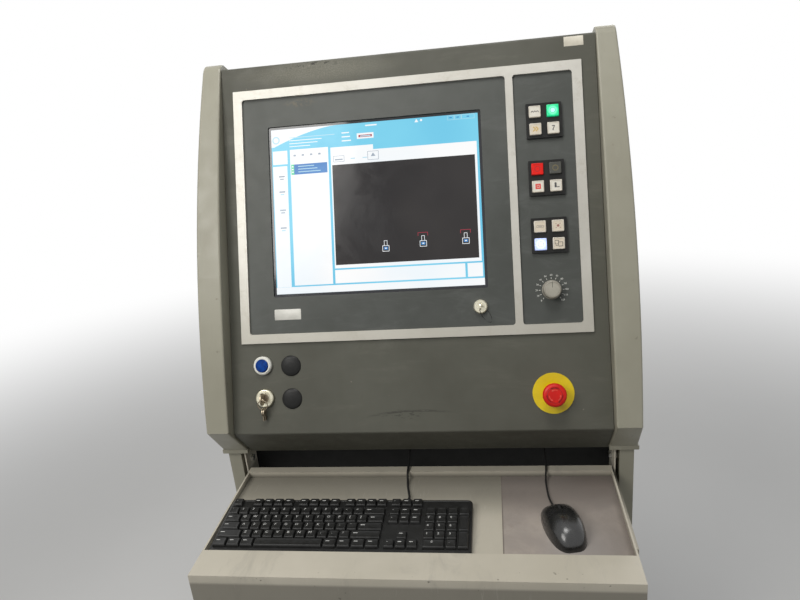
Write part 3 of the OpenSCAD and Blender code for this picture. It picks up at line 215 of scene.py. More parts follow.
def dark_paint():
    """The head's paint. Places on it are metres across and along the sloped face."""
    s = Shader("dark_coat")
    p = s.where(on_face=True)
    tone = s.mix(s.patches(p, 3.2, detail=5, rough=0.62), (0.096, 0.096, 0.078), (0.074, 0.073, 0.058))
    smear = s.noise(s.where((2.0, 9.0, 9.0), True), 2.6, 6, 0.7, 0.6)
    tone = s.mix(s.steps(smear, 0.5, 0.72, 0, 0.35), tone, (0.135, 0.132, 0.108))
    # a thin bent scuff with a few knocks, below the frame
    scuff_x = 0.006
    scuff_along = -0.3655
    x = s.axis(p, 0)
    along = s.axis(p, 1)
    bend = s.times(s.math("POWER", s.math("SUBTRACT", x, scuff_x), 2.0), 1.1)
    line = s.math("ABSOLUTE", s.math("ADD", s.math("SUBTRACT", along, scuff_along), bend))
    broken = s.steps(s.noise(s.where((1.0, 5.0, 1.0), True), 60, 4, 0.65), 0.38, 0.52)
    scuff = s.times(s.steps(line, 0.0026, 0.0009), broken)
    scuff = s.times(scuff, s.around(p, (-0.012, -0.366, 0), (0.1, 0.03, 0.03)))
    uneven = s.steps(s.noise(s.where((1.0, 3.0, 1.0), True), 95, 3, 0.6), 0.54, 0.62)
    knocks = s.times(s.around(p, (-0.022, -0.372, 0), (0.05, 0.012, 0.03)), uneven)
    tone = s.mix(s.times(s.most(scuff, knocks), 0.7), tone, (0.028, 0.027, 0.022))
    # dust and dark flakes by the top edge
    dust_place = s.around(p, (-0.15, 0.252, 0), (0.19, 0.03, 0.03))
    dust = s.steps(s.noise(p, 420, 5, 0.8), 0.4, 0.66, 0.22, 0.6)
    tone = s.mix(s.times(dust, dust_place), tone, (0.26, 0.25, 0.2))
    flake_place = s.around(p, (-0.165, 0.263, 0), (0.075, 0.008, 0.03))
    flakes = s.steps(s.noise(s.where((0.6, 1.4, 1.0), True), 130, 4, 0.75), 0.545, 0.575)
    tone = s.mix(s.times(flakes, flake_place), tone, (0.022, 0.02, 0.016))
    # pin-prick chips all over
    chips = s.steps(s.noise(p, 75), 0.755, 0.775, 0, 0.7)
    tone = s.mix(chips, tone, (0.22, 0.2, 0.16))
    return coated(s, p, tone, 26, 0.42, 0.58, 520, 0.25)


def column_paint():
    s = Shader("pale_coat")
    p = s.where()
    tone = s.mix(s.patches(p, 3.0, detail=5), (0.335, 0.322, 0.258), (0.28, 0.268, 0.21))
    runs = s.noise(s.where((14.0, 14.0, 1.6)), 2.2, 5, 0.65, 0.4)
    tone = s.mix(s.steps(runs, 0.52, 0.7, 0, 0.3), tone, (0.27, 0.252, 0.198))
    spots = s.steps(s.noise(p, 48, 3, 0.6), 0.7, 0.735, 0, 0.55)
    tone = s.mix(spots, tone, (0.17, 0.155, 0.12))
    return coated(s, p, tone, 30, 0.3, 0.44, 430, 0.35)


def tray_paint():
    s = Shader("tray_coat")
    p = s.where()
    tone = s.mix(s.patches(p, 3.4, detail=5), (0.57, 0.53, 0.445), (0.49, 0.455, 0.375))
    smear = s.noise(s.where((3.0, 1.0, 1.0)), 7.0, 6, 0.7, 0.8)
    tone = s.mix(s.steps(smear, 0.5, 0.75, 0, 0.4), tone, (0.3, 0.285, 0.25))
    # painted shadow of the head, mixed with grime, on the recessed floor, thicker towards the head; painted
    # shade on the apron below the front ledge
    y = s.axis(p, 1)
    z = s.axis(p, 2)
    grime_and_head_shadow = s.times(s.steps(z, 0.915, 0.905), s.steps(y, -0.14, -0.045, 0.1, 0.85))
    apron_shade = s.times(s.steps(z, 0.906, 0.898), s.steps(y, -0.24, -0.26, 0, 0.8))
    tone = s.mix(s.most(grime_and_head_shadow, apron_shade), tone, (0.17, 0.16, 0.132))
    # dark nicks on the front edge, and thin scratches all over
    nick = s.steps(s.noise(p, 85, 3, 0.6), 0.69, 0.72, 0, 0.7)
    front = s.steps(y, -0.25, -0.275)
    tone = s.mix(s.times(nick, front), tone, (0.12, 0.11, 0.085))
    scratch = s.steps(s.noise(s.where((90.0, 6.0, 6.0)), 4.0, 3, 0.5, 0.6), 0.68, 0.71, 0, 0.15)
    tone = s.mix(scratch, tone, (0.58, 0.56, 0.5))
    return coated(s, p, tone, 24, 0.3, 0.48, 400, 0.35)


def satin_frame():
    s = Shader("satin_aluminium")
    grain = s.noise(s.where((6.0, 6.0, 500.0), True), 3.0, 4, 0.6)
    p = s.where(on_face=True)
    fine = s.noise(p, 420, 3, 0.6)
    tone = s.mix(s.patches(p, 5, detail=5, rough=0.65), (0.54, 0.525, 0.48), (0.46, 0.445, 0.4))
    stain = s.steps(s.noise(p, 34, 6, 0.8), 0.5, 0.72, 0, 0.45)
    tone = s.mix(stain, tone, (0.36, 0.325, 0.265))
    # darker along the lower rail
    low = s.steps(s.axis(p, 1), -0.1, -0.24, 0, 0.5)
    tone = s.mix(low, tone, (0.36, 0.34, 0.285))
    height = s.math("ADD", s.times(grain, 0.4), s.times(fine, 0.6))
    rough = s.steps(fine, 0.3, 0.7, 0.36, 0.5)
    return s.done(tone, rough, 0.3, s.bump(height, 0.25, 0.0001), specular=0.3)


def panel_paint():
    s = Shader("panel_coat")
    p = s.where(on_face=True)
    tone = s.mix(s.patches(p, 4, detail=5), (0.082, 0.087, 0.081), (0.064, 0.068, 0.062))
    # painted sheen, lighter towards the upper left
    film = s.steps(s.math("SUBTRACT", s.axis(p, 1), s.axis(p, 0)), -0.25, 0.4, 0, 0.5)
    tone = s.mix(film, tone, (0.152, 0.156, 0.144))
    wipe = s.noise(s.where((1.5, 5.0, 1.0), True), 5.0, 6, 0.7, 1.0)
    tone = s.mix(s.steps(wipe, 0.48, 0.72, 0, 0.4), tone, (0.125, 0.13, 0.124))
    smudge_place = s.around(p, (-0.187, 0.196, 0), (0.04, 0.01, 0.02))
    smudge = s.times(smudge_place, s.steps(s.noise(p, 110, 4, 0.7), 0.45, 0.6))
    tone = s.mix(s.times(smudge, 0.6), tone, (0.19, 0.165, 0.12))
    return coated(s, p, tone, 32, 0.5, 0.64, 620, 0.2, 0.0001)


def plastic(name, colour, deep, roughness, scale, depth=0.00004, pits=600.0, **more):
    """Moulded plastic with handling marks and a fine spark texture."""
    s = Shader(name)
    p = s.where()
    tone = s.mix(s.patches(p, scale), colour, deep)
    rough = s.patches(p, scale * 3, roughness - 0.06, roughness + 0.06)
    return s.done(tone, rough, normal=s.bump(s.noise(p, pits), 0.35, depth), **more)


def metal(name, colour, deep, roughness, scale):
    """Turned or rolled metal with fine lines, stains and finger marks."""
    s = Shader(name)
    p = s.where()
    lines = s.noise(p, scale * 6, 3, 0.6)
    tone = s.mix(s.patches(p, scale, detail=5, rough=0.65), colour, deep)
    rough = s.patches(p, scale * 2, roughness - 0.08, roughness + 0.08)
    return s.done(tone, rough, 1.0, s.bump(lines, 0.3, 0.00005))


def lit_cap(name, core, rim, glow):
    """Translucent cap with a lamp behind it: brightest in the middle, with a soft ring."""
    s = Shader(name)
    local = s.add("VectorMath", {0: s.add("TexCoord", {}, 3), 1: (1, 1, 0)}, operation="MULTIPLY")
    length = s.add("VectorMath", {0: local}, 1, operation="LENGTH")
    ring_radius = 0.0062
    ring = s.math("ABSOLUTE", s.math("SUBTRACT", length, ring_radius))
    halo = s.steps(ring, 0.0016, 0.0, 0, 0.35)
    middle = s.steps(length, 0.0095, 0.001)
    tone = s.mix(s.most(middle, halo), rim, core)
    power = s.steps(length, 0.0135, 0.002, glow * 0.45, glow)
    rough = s.patches(s.where(), 300, 0.22, 0.34, detail=3)
    return s.done(tone, rough, Emission_Color=tone, Emission_Strength=power, Coat_Weight=0.4,
                  Coat_Roughness=0.1)


def cloth():
    """Woven cloth with stains. Places on it are metres in the console's frame."""
    s = Shader("mat_weave")
    p = s.where()
    x = s.axis(p, 0)
    y = s.axis(p, 1)
    cloud = s.steps(s.noise(p, 9, 6, 0.7, 0.4), 0.35, 0.65)
    tone = s.mix(cloud, (0.38, 0.33, 0.288), (0.3, 0.262, 0.232))
    stain = s.steps(s.noise(p, 16, 5, 0.7, 0.5), 0.56, 0.7, 0, 0.5)
    tone = s.mix(stain, tone, (0.2, 0.15, 0.125))
    worn = s.around(p, (0.262, -0.304, 0), (0.08, 0.1, 0.05))
    tone = s.mix(s.times(worn, 0.45), tone, (0.33, 0.31, 0.3))
    corner = s.around(p, (0.315, -0.116, 0), (0.08, 0.06, 0.05))
    tone = s.mix(s.times(corner, 0.85), tone, (0.15, 0.1, 0.075))
    # painted shade along the left edge, and a dark stain along the right edge
    edge_shade_and_stain = s.most(s.steps(x, 0.146, 0.1436), s.steps(x, 0.326, 0.336, 0, 0.7))
    tone = s.mix(s.times(edge_shade_and_stain, 0.75), tone, (0.085, 0.065, 0.05))
    # painted shadow of the head, darker towards the rear, and painted shade towards the right
    rear_and_right_shade = s.most(s.steps(y, -0.25, -0.15, 0, 0.85), s.steps(x, 0.22, 0.34, 0, 0.45))
    tone = s.mix(rear_and_right_shade, tone, (0.12, 0.1, 0.085))
    threads = [s.add("TexWave", {"Vector": p, "Scale": 260.0, "Distortion": 0.6}, 1, bands_direction=way)
               for way in ("X", "Y")]
    normal = s.bump(s.math("ADD", *threads), 0.35, 0.00012)
    return s.done(tone, 0.82, normal=normal, Sheen_Weight=0.15, Sheen_Roughness=0.6)


def screen_glass():
    s = Shader("screen_glass")
    p = s.where(on_face=True)
    tone = s.mix(s.noise(p, 7, 4, 0.6), (0.012, 0.013, 0.018), (0.02, 0.021, 0.026))
    rough = s.steps(s.noise(p, 14, 6, 0.7, 0.8), 0.35, 0.7, 0.05, 0.16)
    return s.done(tone, rough)


MATERIALS = {
    "dark_paint": dark_paint(),
    "grey_paint": column_paint(),
    "tray_paint": tray_paint(),
    "black_paint": black_paint(),
    "silver_frame": satin_frame(),
    "panel_paint": panel_paint(),
    "display_glass": screen_glass(),
    "mat_cloth": cloth(),
    "green_cap": lit_cap("green_cap", (0.3, 1.0, 0.62), (0.0, 0.5, 0.2), 1.1),
    "white_cap": lit_cap("lit_white_cap", (0.86, 0.92, 1.0), (0.42, 0.5, 0.85), 1.25),
    "inner_steel": metal("inner_steel", (0.42, 0.42, 0.43), (0.33, 0.33, 0.34), 0.4, 40),
    "nickel": metal("nickel", (0.64, 0.61, 0.49), (0.5, 0.47, 0.36), 0.32, 70),
    "zinc_steel": metal("zinc_steel", (0.6, 0.6, 0.57), (0.45, 0.45, 0.42), 0.34, 80),
}
# colour, deeper colour, roughness, scale of the marks, and what else differs
PLASTICS = {
    "black_plastic": ((0.014, 0.014, 0.0135), (0.009, 0.009, 0.0085), 0.42, 40,
                      dict(specular=0.2)),
    "gloss_black_plastic": ((0.016, 0.016, 0.016), (0.012, 0.012, 0.012), 0.26, 45,
                            dict(depth=0.00001, Coat_Weight=0.3, Coat_Roughness=0.2)),
    "pale_cap": ((0.66, 0.61, 0.52), (0.57, 0.52, 0.44), 0.34, 90, dict(Coat_Weight=0.2, Coat_Roughness=0.2)),
    "red_cap": ((0.78, 0.016, 0.01), (0.66, 0.012, 0.008), 0.36, 90, dict(specular=0.25)),
    "dark_cap": ((0.06, 0.06, 0.05), (0.045, 0.045, 0.037), 0.34, 90, {}),
    "grey_knob": ((0.3, 0.28, 0.235), (0.25, 0.235, 0.195), 0.42, 70, {}),
    "cream_ring": ((0.8, 0.79, 0.73), (0.7, 0.69, 0.63), 0.35, 80, {}),
    "blue_lens": ((0.002, 0.055, 0.3), (0.001, 0.02, 0.13), 0.36, 160,
                  dict(depth=0.00006, pits=350, specular=0.12)),
    "yellow_plastic": ((0.74, 0.56, 0.004), (0.66, 0.49, 0.003), 0.36, 40, {}),
    "red_plastic": ((0.66, 0.013, 0.009), (0.54, 0.01, 0.007), 0.42, 60,
                    dict(specular=0.25, Coat_Weight=0.06, Coat_Roughness=0.2)),
    "black_rubber": ((0.012, 0.012, 0.012), (0.016, 0.016, 0.015), 0.62, 50,
                     dict(depth=0.00008, pits=900, specular=0.15)),
}
for name, (colour, deep, roughness, scale, more) in PLASTICS.items():
    MATERIALS[name] = plastic(name, colour, deep, roughness, scale, **more)
# painted shade: a darker, browner copy of the key metal for the switch key and the hanging keys
SHADED_KEY_METAL = metal("shaded_key_metal", (0.36, 0.31, 0.23), (0.2, 0.165, 0.12), 0.42, 90)
SHADED_KEY_NODES = ("switch_key", "hanging_keys")
for name, node in NODES.items():
    for entry in node.material_slots:
        entry.material = SHADED_KEY_METAL if name in SHADED_KEY_NODES else MATERIALS[entry.material.name]


# Outlines and curves
def polar(radius, angle):
    return radius * cos(angle), radius * sin(angle)


def circle(radius, count, first=0, second=0):
    points = [polar(radius, 2 * pi * j / count) for j in range(count)]
    return [(first + a, second + b) for a, b in points]


def rounded(width, height, radius, count=4, middle=(0, 0)):
    """Outline of a rectangle with round corners."""
    outline = []
    for quarter, (side_x, side_y) in enumerate(((1, 1), (-1, 1), (-1, -1), (1, -1))):
        corner_x = middle[0] + side_x * (width / 2 - radius)
        corner_y = middle[1] + side_y * (height / 2 - radius)
        for i in range(count + 1):
            x, y = polar(radius, (quarter + i / count) * pi / 2)
            outline.append((corner_x + x, corner_y + y))
    return outline


def raised(outline, height):
    return [(x, y, height) for x, y in outline]


def between(a, b, c, d, t):
    """A value on the smooth curve from b to c, with a and d as their neighbours."""
    square = (2 * a - 5 * b + 4 * c - d) * t * t
    cube = (3 * b - a - 3 * c + d) * t * t * t
    return 0.5 * (2 * b + (c - a) * t + square + cube)


def smooth(rows, parts):
    """Rows of three values, each stretch between two rows cut into parts along a smooth curve."""
    made = []
    for i in range(len(rows) - 1):
        near = (rows[max(i - 1, 0)], rows[i], rows[i + 1], rows[min(i + 2, len(rows) - 1)])
        for part in range(parts):
            made.append(tuple(between(*values, part / parts) for values in zip(*near)))
    return made + [rows[-1]]


# Mesh pieces
class Shape:
    """Collects rings, lathes and flat fields, in millimetres, each with a material number."""
    def __init__(self):
        self.points = []
        self.faces = []
        self.looks = []

    def rings(self, rings, look=0, ends=(True, True)):
        """Skins over rings of equally many points. Each end can be closed with a face."""
        start = len(self.points)
        count = len(rings[0])
        for ring in rings:
            self.points.extend(ring)
        for i in range(len(rings) - 1):
            for j in range(count):
                a = start + i * count + j
                b = start + i * count + (j + 1) % count
                self.faces.append((a, b, b + count, a + count))
                self.looks.append(look)
        for wanted, first in ((ends[0], start), (ends[1], start + (len(rings) - 1) * count)):
            if wanted:
                self.faces.append(tuple(range(first, first + count)))
                self.looks.append(look)

    def lathe(self, profile, look=0, centre=(0, 0), count=64, ends=(True, True)):
        """Profile as (radius, height) from the bottom to the top."""
        self.rings([raised(circle(r, count, *centre), h) for r, h in profile], look, ends)

    def field(self, outline, height, look=0):
        start = len(self.points)
        self.points.extend((x, y, height) for x, y in outline)
        self.faces.append(tuple(range(start, start + len(outline))))
        self.looks.append(look)

    def area(self, left, bottom, right, top, height, look=0):
        self.field([(left, bottom), (right, bottom), (right, top), (left, top)], height, look)

    def text(self, words, size, centre, height, look=0):
        curve = bpy.data.curves.new("words", "FONT")
        curve.body = words
        curve.size = size
        curve.resolution_u = 2
        curve.align_x = "CENTER"
        curve.align_y = "CENTER"
        holder = add_object("words", curve)
        bpy.context.view_layer.update()
        flat = holder.evaluated_get(bpy.context.evaluated_depsgraph_get()).to_mesh()
        start = len(self.points)
        self.points.extend((centre[0] + v.co.x, centre[1] + v.co.y, height) for v in flat.vertices)
        for face in flat.polygons:
            self.faces.append(tuple(start + i for i in face.vertices))
            self.looks.append(look)
        bpy.data.objects.remove(holder)
        bpy.data.curves.remove(curve)

    def piece(self, name, body, slot, looks=None, place=FACE, replaces=(), crease=35, solid=True):
        mesh = bpy.data.meshes.new(name)
        mesh.from_pydata([[c * MM for c in p] for p in self.points], [], self.faces)
        for material in looks or [MATERIALS[slot]]:
            mesh.materials.append(material)
        mesh.polygons.foreach_set("material_index", self.looks)
        if solid:
            work = bmesh.new()
            work.from_mesh(mesh)
            bmesh.ops.recalc_face_normals(work, faces=work.faces)
            work.to_mesh(mesh)
            work.free()
        mesh.polygons.foreach_set("use_smooth", [True] * len(mesh.polygons))
        mesh.set_sharp_from_angle(angle=radians(crease))
        made = add_object(name, mesh)
        made.matrix_world = place
        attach(made, body)
        if replaces:
            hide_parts(*replaces)
        return made


# Cords: the same routes as the solids', from the device to the grommet under the head
def cord(name, points, radius, node):
    route = [spot(*p) for p in smooth(points, 2)]
    curve = bpy.data.curves.new(name, "CURVE")
    curve.dimensions = "3D"
    curve.bevel_depth = radius * MM
    curve.bevel_resolution = 4
    spline = curve.splines.new("POLY")
    spline.points.add(len(route) - 1)
    for place, point in zip(spline.points, route):
        place.co = (*point, 1)
    spline.use_smooth = True
    curve.materials.append(MATERIALS["black_rubber"])
    made = add_object(name, curve)
    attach(made, "console")
    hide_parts(node)


# heights and depths of the tray, the head's underside and what lies in the tray
FLOOR_TOP = -495.976
RIM_TOP = -483.976
UNDERSIDE = -449.576
MAT_TOP = -493.976
RIM_FRONT = -103.998
RIM_REAR = -86.998
FLOOR_FRONT = -319.998
KEYBOARD_REAR = -191.498
KEYBOARD_CORD_X = -18
MOUSE_X = 241.0
MOUSE_Y = FLOOR_FRONT + 65
MOUSE_TURN = radians(12)
MOUSE_HALF_LENGTH = 50
RELIEF_LENGTH = 9


def over_the_rim(x_front, x_rear):
    """The last part of both routes: over the tray's rear rim and up to the grommet."""
    rest = ((-4, RIM_TOP + 5), (15, RIM_TOP + 10), (30, RIM_TOP + 17),
            (37, UNDERSIDE - 9), (38, UNDERSIDE - 4))
    return [(x_front, RIM_FRONT - 3, RIM_TOP + 2)] + [(x_rear, RIM_REAR + past, z) for past, z in rest]


keyboard_route = [
    (KEYBOARD_CORD_X, KEYBOARD_REAR + 10, FLOOR_TOP + 8),
    (KEYBOARD_CORD_X, KEYBOARD_REAR + 20, FLOOR_TOP + 6),
    (-21, KEYBOARD_REAR + 35, FLOOR_TOP + 3),
    (-25, KEYBOARD_REAR + 55, FLOOR_TOP + 3),
    (-27, RIM_FRONT - 16, FLOOR_TOP + 6),
] + over_the_rim(-28, -28)
nose = MOUSE_HALF_LENGTH + RELIEF_LENGTH
out_x = MOUSE_X - nose * sin(MOUSE_TURN)
out_y = MOUSE_Y + nose * cos(MOUSE_TURN)
mouse_route = [
    (out_x, out_y, MAT_TOP + 6),
    (out_x - 3, out_y + 11, MAT_TOP + 5),
    (MOUSE_X - 18, MOUSE_Y + 90, MAT_TOP + 3),
    (MOUSE_X - 19, RIM_FRONT - 22, MAT_TOP + 4),
] + over_the_rim(MOUSE_X - 17, MOUSE_X - 16)
cord("keyboard_lead", keyboard_route, 2.0, "keyboard_cord")
cord("mouse_lead", mouse_route, 1.6, "mouse_cord")


# Small materials for printed and lit details
def ink(name, colour):
    return plastic(name, colour, tuple(c * 0.8 for c in colour), 0.5, 200)


def glowing(name, colour, other, power, scale):
    """A field of the picture on the display: softly uneven backlight under the glass."""
    s = Shader(name)
    p = s.where(on_face=True)
    tone = s.mix(s.steps(s.noise(p, scale, 2, 0.4), 0.3, 0.7), colour, other)
    rough = s.steps(s.noise(p, 14, 6, 0.7, 0.8), 0.35, 0.7, 0.08, 0.22)
    return s.done((0.01, 0.01, 0.012), rough, Emission_Color=tone, Emission_Strength=power,
                  specular=0.18)


# Push-button caps: rounded cover with a sunk legend field
BLOCK_X = 243.5
ROWS = {"upper": 125.5, "middle": 27.0, "lower": -71.5}
CORNERS = [(-15, 15), (15, 15), (-15, -15), (15, -15)]
DARK_INK = ink("dark_ink", (0.03, 0.03, 0.032))
FILM_COAT = dict(Coat_Weight=0.3, Coat_Roughness=0.12)
FILM = plastic("legend_film", (0.74, 0.71, 0.63), (0.68, 0.64, 0.55), 0.3, 70, **FILM_COAT)
WARM_FILM = plastic("warm_film", (0.68, 0.6, 0.48), (0.62, 0.54, 0.42), 0.3, 70, **FILM_COAT)


def bar(shape, x0, y0, x1, y1, width, height, look):
    length = sqrt((x1 - x0) ** 2 + (y1 - y0) ** 2)
    nx = -(y1 - y0) / length * width / 2
    ny = (x1 - x0) / length * width / 2
    corners = [(x0 + nx, y0 + ny), (x0 - nx, y0 - ny), (x1 - nx, y1 - ny), (x1 + nx, y1 + ny)]
    shape.field(corners, height, look)


def outline_box(shape, left, bottom, right, top, width, height, look):
    for x0, y0, x1, y1 in ((left, bottom, right, bottom), (right, bottom, right, top),
                           (right, top, left, top), (left, top, left, bottom)):
        bar(shape, x0, y0, x1, y1, width, height, look)


# strokes of the symbols: both ends, width and lift, as strokes that cross lie a few microns apart
STROKES = {
    "zigzag": [(-5 + i * 1.7, -1 + 2 * (i % 2), -3.3 + i * 1.7, 1 - 2 * (i % 2), 0.8, i * 0.002)
               for i in range(6)],
    "arrows": [(x, y, x + 3.2, 0, 1.3, 0 if y > 0 else 0.004) for x in (-3.2, 0.4) for y in (3.2, -3.2)],
    "hook": [(-2, 2.6, 1.6, 2.6, 1.2, 0), (1.6, 2.9, -0.6, -1.6, 1.1, 0.004),
             (-0.6, -1.2, -0.6, -3.4, 1.2, 0.008)],
    "figure": [(0.6, -2.3, 4.4, -2.3, 1.0, 0.004)],
    "dash": [(-2.6, 0, 2.6, 0, 0.7, 0)],
    "dot": [(*polar(3, turn * pi / 4), *polar(4.6, turn * pi / 4), 0.7, 0) for turn in (1, 3, 5, 7)],
    "boxes": [(-4.5, -3, -1.4, -3, 0.7, 0)],
}
FIELD = 1
INK = 2


def mark(shape, kind, h):
    """A symbol on a cap."""
    for x0, y0, x1, y1, width, lift in STROKES.get(kind, ()):
        bar(shape, x0, y0, x1, y1, width, h + lift, INK)
    if kind == "square":
        shape.area(-3.6, -3.6, 3.6, 3.6, h, INK)
        outline_box(shape, -1.6, -1.6, 1.6, 1.6, 0.5, h + 0.004, FIELD)
    elif kind == "figure":
        shape.area(-2.2, -2.8, 0.6, 1.2, h, INK)
        shape.field(circle(1.5, 16, -0.8, 2.6), h, INK)
    elif kind == "dash":
        outline_box(shape, -4.4, -1.4, 4.4, 1.4, 0.5, h, INK)
    elif kind == "dot":
        shape.field(circle(1.7, 16), h, INK)
    elif kind == "ring":
        shape.lathe([(3.9, h), (3.1, h + 0.001)], INK, (0, 0), 28, (False, False))
    elif kind == "boxes":
        outline_box(shape, -5, -1, -0.6, 4, 0.7, h, INK)
        outline_box(shape, -0.6, -4, 5, 1.6, 0.7, h + 0.004, INK)


CAP_SIDES = ((20, -14), (20, 7.9), (19.7, 8.4), (19.1, 8.8), (18.3, 9.0), (16.6, 9.0), (16.1, 8.75),
             (15.9, 8.6))
CAP_FIELD = ((15.9, 8.6), (10, 8.62), (4, 8.63))
MARK_HEIGHT = 8.66
MARK_SCALE = 1.25
# name, slot, field, kind of mark and its ink, from the top block's upper left cap on
CAPS = [
    ("cap_zigzag", "pale_cap", FILM, "zigzag", DARK_INK),
    ("cap_green", "green_cap", None, "ring", ink("green_ink", (0.06, 0.62, 0.3))),
    ("cap_arrows", "pale_cap", WARM_FILM, "arrows", ink("orange_ink", (0.62, 0.4, 0.06))),
    ("cap_hook", "pale_cap", FILM, "hook", DARK_INK),
    ("cap_red", "red_cap", None, "ring", ink("deep_red_ink", (0.42, 0.01, 0.008))),
    ("cap_dark", "dark_cap", None, "ring", ink("amber_ink", (0.2, 0.16, 0.06))),
    ("cap_square", "pale_cap", FILM, "square", ink("red_ink", (0.75, 0.05, 0.035))),
    ("cap_figure", "pale_cap", FILM, "figure", DARK_INK),
    ("cap_dash", "pale_cap", WARM_FILM, "dash", ink("grey_ink", (0.2, 0.19, 0.18))),
    ("cap_dot", "pale_cap", WARM_FILM, "dot", ink("dull_red_ink", (0.3, 0.12, 0.1))),
    ("cap_white", "white_cap", None, "ring", ink("blue_ink", (0.35, 0.4, 0.75))),
    ("cap_boxes", "pale_cap", WARM_FILM, "boxes", DARK_INK),
]


def button_cap(i, name, slot, field, kind, ink_colour):
    shape = Shape()
    sides = [raised(rounded(size, size, 1.3 if size > 17 else 0.6), h) for size, h in CAP_SIDES]
    shape.rings(sides, 0, (True, False))
    shape.rings([raised(rounded(size, size, 0.6), h) for size, h in CAP_FIELD], 1, (False, True))
    first = len(shape.points)
    mark(shape, kind, MARK_HEIGHT)
    shape.points[first:] = [(MARK_SCALE * x, MARK_SCALE * y, h) for x, y, h in shape.points[first:]]
    row = list(ROWS)[i // 4]
    x, along = CORNERS[i % 4]
    node = f"{row}_cap_{i % 4 + 1}"
    shape.piece(name, node, slot, [MATERIALS[slot], field or MATERIALS[slot], ink_colour],
                face_place(BLOCK_X + x, ROWS[row] + along), [node], 30)


for i, cap in enumerate(CAPS):
    button_cap(i, *cap)


# Override knob and its printed dial
KNOB_ALONG = -164.5
KNOB = face_place(BLOCK_X, KNOB_ALONG)
KNOB_SIDE = [(3, -16), (3, 0.5), (16.1, 0.5), (16.5, 0.9), (16.5, 2.6), (16.1, 3.2), (15.5, 3.6), (15.2, 8),
             (14.9, 17.6), (14.6, 18.6), (13.9, 19.4), (13.1, 19.8), (12.2, 20.0), (11.9, 20.0)]
KNOB_TOP = [(11.9, 20.0), (11.6, 19.6), (11.2, 19.6), (10.9, 19.95), (10.4, 20.0), (0.5, 20.0)]
knob = Shape()
knob.lathe(KNOB_SIDE, 0, ends=(True, False))
knob.lathe(KNOB_TOP, 1, ends=(False, True))
knob.area(-0.5, 3.0, 0.5, 13.2, 20.03, 2)
knob_top = plastic("knob_top", (0.38, 0.36, 0.305), (0.33, 0.31, 0.26), 0.4, 90)
knob.piece("feed_knob", "override_knob", "grey_knob",
           [MATERIALS["grey_knob"], knob_top, ink("knob_line", (0.1, 0.1, 0.09))],
           KNOB, ["override_knob"], 28)
PRINT_LIFT = 0.03
dial = Shape()
for i in range(13):
    angle = radians(225 - i * 22.5)
    dial.text(str(i * 10), 4.3, polar(25.2, angle), PRINT_LIFT)
    bar(dial, *polar(18.6, angle), *polar(21.4, angle), 0.7, PRINT_LIFT, 0)
dial.piece("dial_print", "console", "pale_cap", [ink("pale_ink", (0.8, 0.8, 0.75))], KNOB, solid=False)


# Emergency stop: a dark ring painted as the shade of a sunk ring, and turn arrows on the mushroom's top
STOP_X = 238.3
STOP_ALONG = -340.25
ARROW_RADIUS = 9.2
ARROW_HEIGHT = 34.06
stop = Shape()
# painted shade: a thin dark red ring stands for the groove's shade
stop.lathe([(12.7, 33.72), (12.0, 33.84)], 0, (0, 0), 48, (False, False))
for turn in (90, 210, 330):
    arc = [radians(turn - 30 + 6 * i) for i in range(9)]
    for a, b in zip(arc, arc[1:]):
        bar(stop, *polar(ARROW_RADIUS, a), *polar(ARROW_RADIUS, b), 1.1, ARROW_HEIGHT, 1)
    head = [polar(ARROW_RADIUS, arc[-1] + 0.34), polar(7.5, arc[-1]), polar(10.9, arc[-1])]
    stop.field(head, ARROW_HEIGHT + 0.01, 1)
stop.piece("estop_turn_marks", "estop_head", "red_plastic",
           [ink("groove_shade_red", (0.2, 0.006, 0.004)), ink("mark_red", (0.8, 0.09, 0.06))],
           face_place(STOP_X, STOP_ALONG), solid=False)


# Keyboard: case with a raised rim, keys in the solid's layout
PITCH = 18.6
CASE_WIDTH = 430.0
CASE_DEPTH = 128.0
SLOPE = 7 / CASE_DEPTH
BLOCK_GAP = 6
ROW_GAP = 4
KEY_TILT = 0.055
LEGEND_LIFT = 6.12
KEYS_LEFT = -335.0
KEYS_FRONT = -319.498
# widths in key pitches from the left; a negative width is a gap
FUNCTION_ROW = [1, -1] + [1] * 4 + [-0.5] + [1] * 4 + [-0.5] + [1] * 4
LETTER_ROWS = [[1] * 13 + [2], [1.5] + [1] * 12 + [1.5], [1.75] + [1] * 11 + [2.25],
               [2.25] + [1] * 10 + [2.75], [1.25] * 3 + [6.25] + [1.25] * 4]
MIDDLE_ROWS = [[1] * 3, [1] * 3, [-3], [-1, 1, -1], [1] * 3]
NUMBER_ROWS = [[1] * 4, [1] * 3, [1] * 3, [1] * 3, [2, 1]]
LEGENDS = ["`1234567890-=", " QWERTYUIOP[]", " ASDFGHJKL;'", " ZXCVBNM,./", ""]
NUMBER_LEGENDS = ["", "789", "456", "123", "0."]
# inset, corner radius and lift of the case's edge; then how much smaller, how high and how round a key is
CASE_EDGE = ((0.2, 8.8, -1.6), (1.0, 8.2, -0.4), (2.4, 7, 0), (3.6, 6, 0), (4.2, 5.5, -0.5), (8, 3, -0.5))
KEY_SIDES = ((1.4, 0, 1.2), (2.3, 3.0, 1.4), (3.9, 5.4, 1.8), (4.7, 5.9, 1.8), (5.6, 6.0, 1.8))
KEY_DISH = ((5.6, 6.0, 1.5), (8.5, 5.75, 1.5), (12.5, 5.6, 1.5))
KEYBOARD_RELIEF = [(4.0, -1), (3.9, 0.5), (3.2, 0.8), (3.4, 2), (3.0, 2.4), (3.1, 4), (2.7, 4.4),
                   (2.8, 6), (2.45, 6.4), (2.5, 10)]
MOUSE_RELIEF = [(3.0, -1.5), (3.0, 0), (2.5, 0.3), (2.6, 2.2), (2.2, 2.5), (2.35, 4.4), (2.0, 4.7),
                (2.1, RELIEF_LENGTH)]


